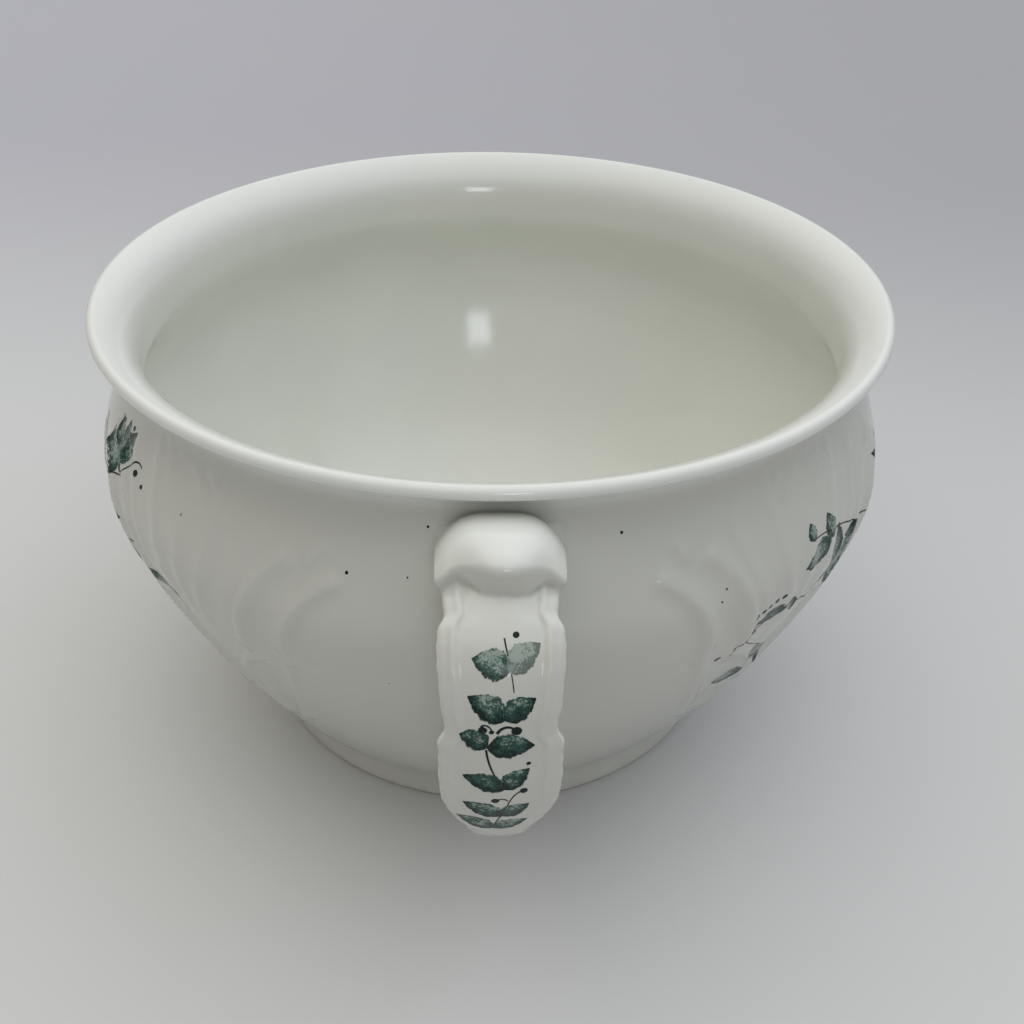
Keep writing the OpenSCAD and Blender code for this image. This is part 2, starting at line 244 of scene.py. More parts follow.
class NodeSheet:
    """A tree of shader nodes, with short calls to add and join them."""

    def __init__(self, tree: bpy.types.NodeTree) -> None:
        """Keeps the tree."""
        self.tree = tree

    def add(self, kind: str, **settings: object) -> bpy.types.Node:
        """Adds a node.

        Args:
            kind: The node's type.
            settings: Values for the node's own properties.

        Returns:
            The new node.
        """
        node = self.tree.nodes.new(kind)
        for key, value in settings.items():
            setattr(node, key, value)
        return node

    def feed(self, target: bpy.types.NodeSocket, value: object) -> None:
        """Joins a socket to an input, or sets the input to a plain value.

        Args:
            target: The input.
            value: The socket or the plain value.
        """
        if isinstance(value, bpy.types.NodeSocket):
            self.tree.links.new(value, target)
        else:
            target.default_value = value

    def place(self) -> bpy.types.NodeSocket:
        """Place on the pot, in metres."""
        return self.add("ShaderNodeTexCoord").outputs["Object"]

    def split(self, vector: bpy.types.NodeSocket) -> list[bpy.types.NodeSocket]:
        """Takes a vector apart.

        Args:
            vector: The vector.

        Returns:
            Its three coordinates.
        """
        node = self.add("ShaderNodeSeparateXYZ")
        self.feed(node.inputs["Vector"], vector)
        return list(node.outputs)

    def vector(self, operation: str, a: object, b: object = (0.0, 0.0, 0.0)) -> bpy.types.Node:
        """Arithmetic on two vectors.

        Args:
            operation: Name of the operation.
            a: A socket or a vector.
            b: A socket or a vector.

        Returns:
            The new node.
        """
        node = self.add("ShaderNodeVectorMath", operation=operation)
        self.feed(node.inputs[0], a)
        self.feed(node.inputs[1], b)
        return node

    def noise(self, scale: float, detail: float = 3.0, rough: float = 0.5) -> bpy.types.NodeSocket:
        """Cloudy noise over the pot.

        Args:
            scale: Clouds a metre.
            detail: Levels of finer clouds.
            rough: Strength of the finer clouds.

        Returns:
            The noise, about 0 to 1.
        """
        node = self.add("ShaderNodeTexNoise")
        self.feed(node.inputs["Vector"], self.place())
        node.inputs["Scale"].default_value = scale
        node.inputs["Detail"].default_value = detail
        node.inputs["Roughness"].default_value = rough
        return node.outputs["Fac"]

    def step(
        self,
        value: bpy.types.NodeSocket,
        low: float,
        high: float,
        top: float = 1.0,
        bottom: object = 0.0,
        kind: str = "SMOOTHSTEP",
    ) -> bpy.types.NodeSocket:
        """Step of a value between two levels.

        Args:
            value: The value to map.
            low: Where the result is bottom.
            high: Where the result is top, which may lie below low.
            top: The result past high.
            bottom: The result before low, a number or a socket.
            kind: Shape of the slope between them.

        Returns:
            The mapped value.
        """
        node = self.add("ShaderNodeMapRange", interpolation_type=kind)
        self.feed(node.inputs["Value"], value)
        if low > high:
            low, high, bottom, top = high, low, top, bottom
        for key, level in (("From Min", low), ("From Max", high), ("To Min", bottom), ("To Max", top)):
            self.feed(node.inputs[key], level)
        return node.outputs["Result"]

    def calc(self, operation: str, a: object, b: object = 0.0, c: object = 0.0) -> bpy.types.NodeSocket:
        """Arithmetic on up to three values.

        Args:
            operation: Name of the operation.
            a: A socket or a number.
            b: A socket or a number.
            c: A socket or a number, for an operation that takes three.

        Returns:
            The result.
        """
        node = self.add("ShaderNodeMath", operation=operation)
        for socket, value in zip(node.inputs, (a, b, c)):
            self.feed(socket, value)
        return node.outputs["Value"]

    def blend(self, factor: bpy.types.NodeSocket, a: object, b: object) -> bpy.types.NodeSocket:
        """Blend of two colours.

        Args:
            factor: 0 for the first colour, 1 for the second.
            a: A socket or a colour.
            b: A socket or a colour.

        Returns:
            The blended colour.
        """
        node = self.add("ShaderNodeMix", data_type="RGBA")
        self.feed(node.inputs["Factor"], factor)
        for key, value in (("A", a), ("B", b)):
            opaque = value if isinstance(value, bpy.types.NodeSocket) else (*value, 1.0)
            self.feed(node.inputs[key], opaque)
        return node.outputs["Result"]


class FinishSheet(NodeSheet):
    """Nodes of a material, round its one shader."""

    def __init__(self, name: str) -> None:
        """Starts a material.

        Args:
            name: Name of the material.
        """
        self.material = bpy.data.materials.new(name)
        self.material.use_nodes = True
        super().__init__(self.material.node_tree)
        self.shader = self.tree.nodes["Principled BSDF"]

    def dress(self, colour: bpy.types.NodeSocket, roughness: object, ior: float = 1.5) -> None:
        """Gives the shader its colour and gloss.

        Args:
            colour: The colour.
            roughness: A socket or a number.
            ior: Bend of light in the finish.
        """
        self.feed(self.shader.inputs["Base Color"], colour)
        self.feed(self.shader.inputs["Roughness"], roughness)
        self.shader.inputs["IOR"].default_value = ior

    def bump(self, height: bpy.types.NodeSocket, strength: float, depth: float) -> None:
        """Bumps the shader's surface.

        Args:
            height: The height, 0 to 1.
            strength: Share of the bump that shows.
            depth: Depth of the bump in metres.
        """
        node = self.add("ShaderNodeBump")
        node.inputs["Strength"].default_value = strength
        node.inputs["Distance"].default_value = depth
        self.feed(node.inputs["Height"], height)
        self.feed(self.shader.inputs["Normal"], node.outputs["Normal"])


@dataclass(frozen=True)
class GlazeFinish:
    """Clear glossy glaze over a warm white body, with kiln specks; shade is painted outside and light on the
    lip.
    """

    name: str = "clear_glaze"
    colour: Colour = (0.770, 0.775, 0.715)
    shade: Colour = (0.735, 0.742, 0.690)
    clouds: float = 16.0
    cloud_edge: Place = (0.35, 0.70)
    # Painted shade: darker colour for the faces that look outward from the axis.
    painted_shade: Colour = (0.612, 0.608, 0.556)
    shade_facing_edge: Place = (0.10, 0.75)
    # Painted light: lighter colour for the lip, which also takes none of the painted shade.
    rim: Colour = (0.785, 0.790, 0.750)
    lit_lip_height: Place = (0.130, 0.136)
    speck: Colour = (0.16, 0.14, 0.12)
    speck_cells: float = 75.0
    speck_size: float = 0.035
    speck_edge: float = 0.012
    speck_share: Place = (0.86, 0.88)
    speck_strength: float = 0.8
    roughness: float = 0.07
    dulling: float = 0.06
    dull_clouds: float = 30.0
    ior: float = 1.52
    ripples: float = 70.0
    ripple_share: float = 0.25
    ripple_depth: float = 0.0003

    def specks(self, sheet: NodeSheet) -> bpy.types.NodeSocket:
        """Mask of small dark specks in the glaze.

        Args:
            sheet: The material's nodes.

        Returns:
            1 on a speck and 0 elsewhere.
        """
        cells = sheet.add("ShaderNodeTexVoronoi")
        sheet.feed(cells.inputs["Vector"], sheet.place())
        cells.inputs["Scale"].default_value = self.speck_cells
        pick = sheet.add("ShaderNodeSeparateColor")
        sheet.feed(pick.inputs["Color"], cells.outputs["Color"])
        chosen = sheet.step(pick.outputs["Red"], *self.speck_share, self.speck_strength)
        size = sheet.calc("MULTIPLY", pick.outputs["Green"], self.speck_size)
        past = sheet.calc("SUBTRACT", cells.outputs["Distance"], size)
        return sheet.calc("MULTIPLY", chosen, sheet.step(past, self.speck_edge, 0.0))

    def outside(self, sheet: NodeSheet) -> bpy.types.NodeSocket:
        """Mask of the faces that look away from the pot's axis, where shade is painted into the glaze colour.

        Args:
            sheet: The material's nodes.

        Returns:
            1 on an outer face and 0 inside the bowl and on faces that look up.
        """
        level = sheet.vector("MULTIPLY", sheet.place(), (1.0, 1.0, 0.0)).outputs["Vector"]
        outward = sheet.vector("NORMALIZE", level).outputs["Vector"]
        normal = sheet.add("ShaderNodeNewGeometry").outputs["Normal"]
        facing = sheet.vector("DOT_PRODUCT", outward, normal).outputs["Value"]
        return sheet.step(facing, *self.shade_facing_edge)

    def material(self) -> bpy.types.Material:
        """Builds the finish.

        Returns:
            The new material.
        """
        sheet = FinishSheet(self.name)
        clouds = sheet.step(sheet.noise(self.clouds), *self.cloud_edge)
        # Painted shade: faces that look outward take the darker colour, over random clouds of tone.
        body = sheet.blend(self.outside(sheet), sheet.blend(clouds, self.colour, self.shade), self.painted_shade)
        height = sheet.split(sheet.place())[2]
        # Painted light: above the lip height the colour turns lighter and drops the painted shade.
        body = sheet.blend(sheet.step(height, *self.lit_lip_height), body, self.rim)
        gloss = sheet.calc("MULTIPLY_ADD", sheet.noise(self.dull_clouds, 2.0), self.dulling, self.roughness)
        sheet.dress(sheet.blend(self.specks(sheet), body, self.speck), gloss, self.ior)
        sheet.bump(sheet.noise(self.ripples, 2.0), self.ripple_share, self.ripple_depth)
        return sheet.material


@dataclass(frozen=True)
class FootFinish:
    """Thin glaze that is worn to bare clay at the standing edge."""

    name: str = "worn_foot_glaze"
    colour: Colour = (0.720, 0.715, 0.650)
    stain: Colour = (0.62, 0.58, 0.49)
    stain_clouds: float = 45.0
    stain_edge: Place = (0.5, 0.8)
    stain_share: float = 0.35
    bare: Colour = (0.52, 0.47, 0.38)
    bare_height: Place = (0.0008, -0.00064)
    bare_waver: float = -0.0016
    bare_grain: float = 220.0
    roughness: float = 0.18
    bare_roughness: float = 0.5
    pits: float = 400.0
    pit_share: float = 0.3
    pit_depth: float = 0.0002

    def material(self) -> bpy.types.Material:
        """Builds the finish.

        Returns:
            The new material.
        """
        sheet = FinishSheet(self.name)
        height = sheet.split(sheet.place())[2]
        grain = sheet.noise(self.bare_grain, 4.0, 0.65)
        worn = sheet.step(sheet.calc("MULTIPLY_ADD", grain, self.bare_waver, height), *self.bare_height)
        stain = sheet.step(sheet.noise(self.stain_clouds, 4.0, 0.6), *self.stain_edge, self.stain_share)
        body = sheet.blend(stain, self.colour, self.stain)
        gloss = sheet.calc("MULTIPLY_ADD", worn, self.bare_roughness, self.roughness)
        sheet.dress(sheet.blend(worn, body, self.bare), gloss)
        sheet.bump(sheet.noise(self.pits), self.pit_share, self.pit_depth)
        return sheet.material


@dataclass(frozen=True)
class SlipFinish:
    """Slip under the glaze, where it pools a little, in the glaze's painted shade colour of outward faces."""

    name: str = "pooled_slip"
    # Painted shade: the same darker colour that the glaze paints on its outward faces.
    colour: Colour = (0.612, 0.608, 0.556)
    pool: Colour = (0.565, 0.565, 0.505)
    pools: float = 140.0
    pool_edge: Place = (0.4, 0.75)
    roughness: float = 0.12
    ior: float = 1.52
    ripples: float = 260.0
    ripple_share: float = 0.3
    ripple_depth: float = 0.0003

    def material(self) -> bpy.types.Material:
        """Builds the finish.

        Returns:
            The new material.
        """
        sheet = FinishSheet(self.name)
        pooled = sheet.step(sheet.noise(self.pools), *self.pool_edge)
        sheet.dress(sheet.blend(pooled, self.colour, self.pool), self.roughness, self.ior)
        sheet.bump(sheet.noise(self.ripples, 2.0), self.ripple_share, self.ripple_depth)
        return sheet.material


@dataclass(frozen=True)
class InkFinish:
    """Green print under the glaze: dark lines round a stippled wash."""

    name: str = "green_print"
    wash: Colour = (0.028, 0.078, 0.062)
    pale: Colour = (0.300, 0.370, 0.325)
    line: Colour = (0.004, 0.014, 0.012)
    worn: Colour = (0.560, 0.575, 0.520)
    fine_grain: float = 1900.0
    coarse_grain: float = 420.0
    coarse_share: float = 1.4
    grain_middle: float = 0.55
    grain_share: float = 0.78
    shade_share: float = 0.36
    edge_share: float = 0.14
    tone_share: float = 0.3
    wash_edge: Place = (0.44, 0.68)
    deep_edge: Place = (0.70, 1.0)
    deep_share: float = 0.95
    line_tone: Place = (0.5, 0.8)
    broken_grain: float = 900.0
    broken_share: float = 0.7
    broken_edge: Place = (1.24, 1.48)
    whole_tone: Place = (0.7, 0.5)
    worn_tone: Place = (0.0, -1.0)
    roughness: float = 0.10
    ior: float = 1.25

    def shading(
        self,
        sheet: NodeSheet,
        across: bpy.types.NodeSocket,
        ahead: bpy.types.NodeSocket,
        off_rib: bpy.types.NodeSocket,
    ) -> bpy.types.NodeSocket:
        """Darker parts of a leaf: its ends and one half, its edges and its rib.

        Args:
            sheet: The material's nodes.
            across: Place across the leaf, 0 to 1.
            ahead: Place along the leaf, 0 to 1.
            off_rib: Distance from the rib, 0 to 1.

        Returns:
            What the shading adds to the ink.
        """
        ends = sheet.calc("MAXIMUM", sheet.step(ahead, 0.36, 0.04), sheet.step(ahead, 0.76, 0.97))
        shade = sheet.calc("MAXIMUM", ends, sheet.step(across, 0.48, 0.95))
        edges = sheet.calc("MAXIMUM", sheet.step(off_rib, 0.75, 1.0), sheet.step(off_rib, 0.14, 0.02, 0.6))
        edges = sheet.calc("MULTIPLY", edges, self.edge_share)
        return sheet.calc("MULTIPLY_ADD", shade, self.shade_share, edges)

    def stipple(self, sheet: NodeSheet) -> bpy.types.NodeSocket:
        """Grain of the wash.

        Args:
            sheet: The material's nodes.

        Returns:
            What the grain adds to the ink.
        """
        fine, coarse = sheet.noise(self.fine_grain, 2.0, 0.7), sheet.noise(self.coarse_grain, 4.0, 0.7)
        grain = sheet.calc("MULTIPLY_ADD", coarse, self.coarse_share, fine)
        return sheet.calc("MULTIPLY", sheet.calc("SUBTRACT", grain, self.grain_middle), self.grain_share)

    def material(self) -> bpy.types.Material:
        """Builds the finish.

        Returns:
            The new material.
        """
        sheet = FinishSheet(self.name)
        across, ahead, _ = sheet.split(sheet.add("ShaderNodeUVMap", uv_map=InkSheet.UV).outputs["UV"])
        off_rib = sheet.calc("MULTIPLY", sheet.calc("ABSOLUTE", sheet.calc("SUBTRACT", across, 0.5)), 2.0)
        tone = sheet.add("ShaderNodeAttribute", attribute_name=InkSheet.TONE).outputs["Fac"]
        amount = sheet.calc("ADD", self.stipple(sheet), self.shading(sheet, across, ahead, off_rib))
        amount = sheet.calc("MULTIPLY_ADD", tone, self.tone_share, amount)
        wash = sheet.blend(sheet.step(amount, *self.wash_edge), self.pale, self.wash)
        deep = sheet.step(amount, *self.deep_edge, self.deep_share)
        deep = sheet.calc("MAXIMUM", deep, sheet.step(tone, *self.line_tone))
        inked = sheet.blend(deep, wash, self.line)
        broken = sheet.noise(self.broken_grain, 3.0, 0.7)
        broken = sheet.step(sheet.calc("MULTIPLY_ADD", broken, self.broken_share, off_rib), *self.broken_edge)
        bare = sheet.calc("MULTIPLY", broken, sheet.step(tone, *self.whole_tone))
        bare = sheet.calc("MAXIMUM", bare, sheet.step(tone, *self.worn_tone))
        sheet.dress(sheet.blend(bare, inked, self.worn), self.roughness, self.ior)
        return sheet.material


@dataclass(frozen=True)
class FloorFinish:
    """Plain pale paper that the pot stands on, with painted shade: darker and cooler far behind it and on the
    right.
    """

    name: str = "pale_floor"
    near: Colour = (0.680, 0.676, 0.662)
    # Painted shade: the paper turns darker and cooler far behind the pot, where the light falls off.
    far: Colour = (0.478, 0.472, 0.516)
    far_shade_edge: Place = (0.02, 0.62)
    # Painted shade: darker again on the right, and most of all far behind on the right.
    right: Colour = (0.615, 0.615, 0.620)
    far_right_shade: Colour = (0.405, 0.402, 0.428)
    far_right_shade_edge: Place = (-0.15, 0.50)
    right_shade_edge: Place = (-0.5, 0.5)
    cloud: Colour = (0.5, 0.47, 0.42)
    clouds: float = 7.0
    cloud_edge: Place = (0.40, 0.75)
    cloud_share: float = 0.06
    roughness: float = 0.75
    gloss: float = 0.2
    grain: float = 500.0
    grain_share: float = 0.1
    grain_depth: float = 0.0002

    def material(self) -> bpy.types.Material:
        """Builds the finish.

        Returns:
            The new material.
        """
        sheet = FinishSheet(self.name)
        x, y, _ = sheet.split(sheet.place())
        # Painted shade that falls off towards the back and towards the right.
        left = sheet.blend(sheet.step(y, *self.far_shade_edge), self.near, self.far)
        right = sheet.blend(sheet.step(y, *self.far_right_shade_edge), self.right, self.far_right_shade)
        paper = sheet.blend(sheet.step(x, *self.right_shade_edge), left, right)
        clouds = sheet.step(sheet.noise(self.clouds, 5.0, 0.6), *self.cloud_edge, self.cloud_share)
        sheet.dress(sheet.blend(clouds, paper, self.cloud), self.roughness)
        sheet.shader.inputs["Specular IOR Level"].default_value = self.gloss
        sheet.bump(sheet.noise(self.grain), self.grain_share, self.grain_depth)
        return sheet.material


@dataclass(frozen=True)
class ArcRidge:
    """Soft ridge along an arc, seen straight on a panel; a hollow where its height is negative."""

    centre: Place
    radius: float
    start: float
    end: float
    height: float
    half: float

    def lift(self, x: np.ndarray, z: np.ndarray, squeeze: np.ndarray) -> np.ndarray:
        """Height of the ridge.

        Args:
            x: Distance from the panel's middle plane.
            z: Height above the table.
            squeeze: How much narrower the belly's skin looks there, seen straight on.

        Returns:
            The height at each place.
        """
        dx, dz = x - self.centre[0], z - self.centre[1]
        angle = np.degrees(np.arctan2(dz, dx))
        ends = [np.array(self.centre) + self.radius * along(a) for a in (self.start, self.end)]
        to_ends = np.minimum(*[np.hypot(x - e[0], z - e[1]) for e in ends])
        on_arc = (angle > self.start) & (angle < self.end)
        d = np.where(on_arc, np.abs(np.hypot(dx, dz) - self.radius), to_ends)
        return self.height * bump(d / squeeze, self.half)


@dataclass(frozen=True)
class BarRidge:
    """Soft ridge along a straight line, seen straight on a panel."""

    low: Place
    high: Place
    height: float
    half: float

    def lift(self, x: np.ndarray, z: np.ndarray, squeeze: np.ndarray) -> np.ndarray:
        """Height of the ridge.

        Args:
            x: Distance from the panel's middle plane.
            z: Height above the table.
            squeeze: How much narrower the belly's skin looks there, seen straight on.

        Returns:
            The height at each place.
        """
        a, run = np.array(self.low), np.array(self.high) - np.array(self.low)
        t = np.clip(((x - a[0]) * run[0] + (z - a[1]) * run[1]) / (run @ run), 0, 1)
        d = np.hypot((x - a[0] - t * run[0]) / squeeze, z - a[1] - t * run[1])
        return self.height * bump(d, self.half)


@dataclass
class Relief:
    """Moulded ornament of the belly: four plain panels in double scrolls, with fans of ribs between them."""

    panels: int = 4
    panel_half: float = 54.5
    scroll_z: float = 87.0
    inner_scroll_r: float = 27.0
    outer_scroll_r: float = 33.0
    scroll_gap: float = 12.0
    ridge_half: float = 2.2
    bar: Place = (42.5, 79.5)
    side_leaf: Place = (46.0, 59.0)
    side_leaf_r: float = 24.0
    rib_height: float = 0.55
    rib_half: float = 2.2
    ribs: tuple[tuple[Place, Place], ...] = (
        ((0.0, 84.0), (0.0, 107.0)),
        ((2.6, 84.0), (7.4, 123.0)),
        ((8.4, 92.0), (13.6, 117.0)),
        ((3.4, 122.0), (1.6, 125.0)),
        ((7.0, 122.6), (4.6, 125.4)),
    )
    ridges: list = field(init=False)

    def __post_init__(self) -> None:
        """Lays out the ridges of one side of a panel."""
        half, z, wide = self.panel_half, self.scroll_z, self.ridge_half
        inner, outer = self.inner_scroll_r, self.outer_scroll_r
        low, high = self.bar
        self.ridges = [
            ArcRidge((half - inner, z), inner, -16.0, 62.0, height=1.4, half=wide),
            ArcRidge((half - inner, z), inner - 4.5, -16.0, 56.0, height=-0.30, half=3.0),
            ArcRidge((half + self.scroll_gap - outer, z), outer, -14.0, 54.0, height=1.3, half=wide),
            ArcRidge((half + self.scroll_gap / 2 - 30.0, z), 30.0, -10.0, 50.0, height=-0.45, half=2.6),
            BarRidge((half, low), (half, high), height=1.2, half=wide),
            ArcRidge(self.side_leaf, self.side_leaf_r, -52.0, 50.0, height=1.2, half=wide),
            BarRidge((half + 7.0, 47.0), (half + 8.0, 68.0), height=-0.45, half=3.4),
            BarRidge((46.6, 114.8), (43.5, 118.2), height=1.1, half=1.4),
        ]

    def fan(self, turn: np.ndarray, z: np.ndarray, radius: np.ndarray) -> np.ndarray:
        """Height of the thin ribs that fan out between two panels, and of the commas over them.

        Args:
            turn: Degrees from the middle of the space between two panels.
            z: Height above the table.
            radius: Radius of the belly there.

        Returns:
            The height at each place.
        """
        total = np.zeros(np.broadcast_shapes(turn.shape, z.shape))
        for low, high in self.ribs:
            share = np.clip((z - low[1]) / (high[1] - low[1]), 0, 1)
            across = np.radians(turn - low[0] - (high[0] - low[0]) * share) * radius
            past = np.maximum(np.maximum(low[1] - z, z - high[1]), 0.0)
            total = np.maximum(total, self.rib_height * bump(np.hypot(across, 0.4 * past), self.rib_half))
        return total

    def lift(self, angles: np.ndarray, z: np.ndarray, radius: np.ndarray) -> np.ndarray:
        """Height of the whole ornament.

        Args:
            angles: Degrees from the handle.
            z: Height above the table.
            radius: Radius of the plain belly there.

        Returns:
            The height at each place.
        """
        pitch = 360.0 / self.panels
        turn = np.abs((angles + pitch / 2) % pitch - pitch / 2)
        x = radius * np.sin(np.radians(turn))
        squeeze = np.cos(np.radians(turn))
        heights = [ridge.lift(x, z, squeeze) for ridge in self.ridges]
        raised = [np.maximum(h, 0.0) for h in heights]
        raised.append(self.fan(pitch / 2 - turn, z, radius))
        hollows = [np.minimum(h, 0.0) for h in heights]
        return np.max(raised, axis=0) + np.sum(hollows, axis=0)


@dataclass
class Bowl:
    """Wall and floor of the pot, turned about Z."""

    height: float
    belly_r: float
    foot_r: float
    foot_h: float
    floor_r: float
    rim_r: float = 117.5
    belly_z: float = 98.5
    neck_r: float = 109.3
    neck_drop: float = 14.0
    wall: float = 5.5
    inner_neck_drop: float = 6.0
    lip_t: float = 3.8
    lip_angle: float = 22.0
    lip_pull: float = 6.5
    inner_lip_pull: float = 11.0
    inner_neck_pull: float = 8.0
    neck_pull: float = 5.0
    belly_pull: Place = (20.0, 11.0)
    heel_pull: Place = (3.0, 12.0)
    foot_lift: float = 0.3
    outer_steps: tuple = (5, 92, 34, 12)
    inner_steps: tuple = (10, 12, 60)
    foot_taper: float = 1.2
    heel: Place = (5.0, 5.0)
    heel_angle: float = 44.0
    floor_t: float = 7.0
    floor_curve: float = 12.0
    inner_pull: float = 16.0
    floor_pull: float = 34.0
    middle_r: float = 3.0
    floor_rings: int = 8
    around: int = 640
    relief: Relief = field(default_factory=Relief)

    @classmethod
    def from_frame(cls) -> "Bowl":
        """Bowl with the sizes that the solids give."""
        top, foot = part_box("bowl_wall")[1] / MM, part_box("foot_ring")[1] / MM
        return cls(top.z, top.x, foot.x, foot.z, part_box("floor_disc")[1].x / MM)

    def __post_init__(self) -> None:
        """Works out the outlines, as radius and height."""
        neck = np.array([self.neck_r, self.height - self.neck_drop])
        belly = np.array([self.belly_r, self.belly_z])
        up = np.array([0.0, 1.0])
        bead_r = self.lip_t / 2
        bead = np.array([self.rim_r - bead_r, self.height - bead_r])
        lip, side = along(self.lip_angle), along(self.lip_angle - 90.0)
        heel = np.array([self.foot_r, self.foot_h]) + self.heel
        rise = along(self.heel_angle)
        foot_top = np.array([self.foot_r - self.foot_taper, self.foot_h])
        floor_edge = np.array([self.floor_r - self.floor_curve, self.foot_h + self.floor_t])
        outer_lip, inner_lip = bead + bead_r * side, bead - bead_r * side
        below, above = self.belly_pull
        under_heel = heel - self.heel_pull[0] * rise
        outer = [
            [foot_top, foot_top + [self.heel[0] / 2, self.foot_lift], under_heel, heel],
            [heel, heel + self.heel_pull[1] * rise, belly - below * up, belly],
            [belly, belly + above * up, neck - self.neck_pull * up, neck],
            [neck, neck + self.neck_pull * up, outer_lip - self.lip_pull * lip, outer_lip],
        ]
        turn = np.linspace(self.lip_angle - 90.0, self.lip_angle + 90.0, 11)[1:-1]
        self.bead_line = np.array([bead + bead_r * along(a) for a in turn])
        inner_neck, inner_belly = neck - [self.wall, self.inner_neck_drop], belly - [self.wall, 0.0]
        over_neck = inner_neck + self.inner_neck_pull * up
        into_floor = floor_edge + [self.floor_pull, 0.0]
        inner = [
            [inner_lip, inner_lip - self.inner_lip_pull * lip, over_neck, inner_neck],
            [inner_neck, inner_neck - self.neck_pull * up, inner_belly + above * up, inner_belly],
            [inner_belly, inner_belly - self.inner_pull * up, into_floor, floor_edge],
        ]
        self.outer_line = chain(outer, self.outer_steps)
        self.outer_side = side_of(self.outer_line)
        inside = chain(inner, self.inner_steps)
        seam_z = np.interp(self.floor_r, inside[::-1, 0], inside[::-1, 1])
        seam = [[self.floor_r, seam_z]]
        self.inner_line = np.concatenate([inside[inside[:, 0] > self.floor_r], seam])
        self.floor_line = np.concatenate([seam, inside[inside[:, 0] < self.floor_r]])
        self.angles = np.linspace(0.0, 360.0, self.around, endpoint=False)

    def outer_r(self, z: np.ndarray) -> np.ndarray:
        """Radius of the plain outside at a height."""
        return np.interp(z, self.outer_line[:, 1], self.outer_line[:, 0])

    def wall_points(self) -> np.ndarray:
        """Points of the wall's skin, one ring a row.

        Returns:
            Rings by points by 3.
        """
        r, z = self.outer_line[:, :1], self.outer_line[:, 1:]
        height = self.relief.lift(self.angles[None, :], z, r)
        skin = turned(r + height * self.outer_side[:, :1], z + height * self.outer_side[:, 1:], self.angles)
        rest = np.concatenate([self.bead_line, self.inner_line, [[self.floor_r, self.foot_h]]])
        return np.concatenate([skin, turned(rest[:, :1], rest[:, 1:], self.angles)])

    def build_wall(self, material: bpy.types.Material) -> bpy.types.Object:
        """Makes the wall.

        Args:
            material: Its glaze.

        Returns:
            The new piece.
        """
        points = self.wall_points()
        mesh = make_mesh("bowl", points, grid_faces(*points.shape[:2], True, True))
        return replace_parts(add_piece("bowl", mesh, material), "bowl_wall")

    def build_floor(self, material: bpy.types.Material) -> bpy.types.Object:
        """Makes the floor, whose two middles are single points.

        Args:
            material: Its glaze.

        Returns:
            The new piece.
        """
        flat = np.linspace(self.floor_line[-1, 0], self.middle_r, self.floor_rings)[1:]
        level = np.full(len(flat), self.floor_line[-1, 1])
        top = np.concatenate([self.floor_line, np.stack([flat, level], axis=1)])
        under = np.linspace(self.middle_r, self.floor_r, self.floor_rings)
        base = np.stack([under, np.full(self.floor_rings, self.foot_h)], axis=1)
        line = np.concatenate([base, top])
        rings = turned(line[:, :1], line[:, 1:], self.angles)
        faces = grid_faces(*rings.shape[:2], False, True)
        n = rings.shape[0] * self.around
        middle = np.array([[0.0, 0.0, self.foot_h], [0.0, 0.0, top[-1, 1]]])
        first, last = np.arange(self.around), np.arange(n - self.around, n)
        faces += np.stack([np.full(self.around, n), np.roll(first, -1), first], axis=1).tolist()
        faces += np.stack([np.full(self.around, n + 1), last, np.roll(last, -1)], axis=1).tolist()
        mesh = make_mesh("floor", np.concatenate([rings.reshape(-1, 3), middle]), faces)
        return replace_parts(add_piece("floor", mesh, material), "floor_disc")


@dataclass
class FootRing:
    """Ring that the pot stands on, with rounded edges."""

    bowl: Bowl
    width: float = 8.0
    edge: float = 1.2
    waver: float = 0.12

    def build(self, material: bpy.types.Material) -> bpy.types.Object:
        """Makes the ring.

        Args:
            material: Its finish.

        Returns:
            The new piece.
        """
        bowl = self.bowl
        inside, outside = bowl.foot_r - self.width, bowl.foot_r
        inner_edge, outer_edge = [np.array([r, self.edge]) for r in (inside + self.edge, outside - self.edge)]
        upright = bowl.foot_h - self.edge
        line = [[inside, bowl.foot_h]]
        line += [inner_edge + self.edge * along(a) for a in range(180, 271, 15)]
        line += [outer_edge + self.edge * along(a) for a in range(-90, 1, 15)]
        line += [[outside - bowl.foot_taper * t, self.edge + upright * t] for t in (0.35, 0.7, 1.0)]
        section = np.array(line)
        angles = bowl.angles
        waver = self.waver * np.sin(np.radians(3.0 * angles + 40.0)) * np.sin(np.radians(angles * 2.0))
        share = np.sin(np.pi * np.clip(section[:, 1:] / bowl.foot_h, 0, 1))
        points = turned(section[:, :1] + waver[None, :] * share, section[:, 1:], angles)
        mesh = make_mesh("foot", points, grid_faces(*points.shape[:2], True, True))
        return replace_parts(add_piece("foot", mesh, material), "foot_ring")


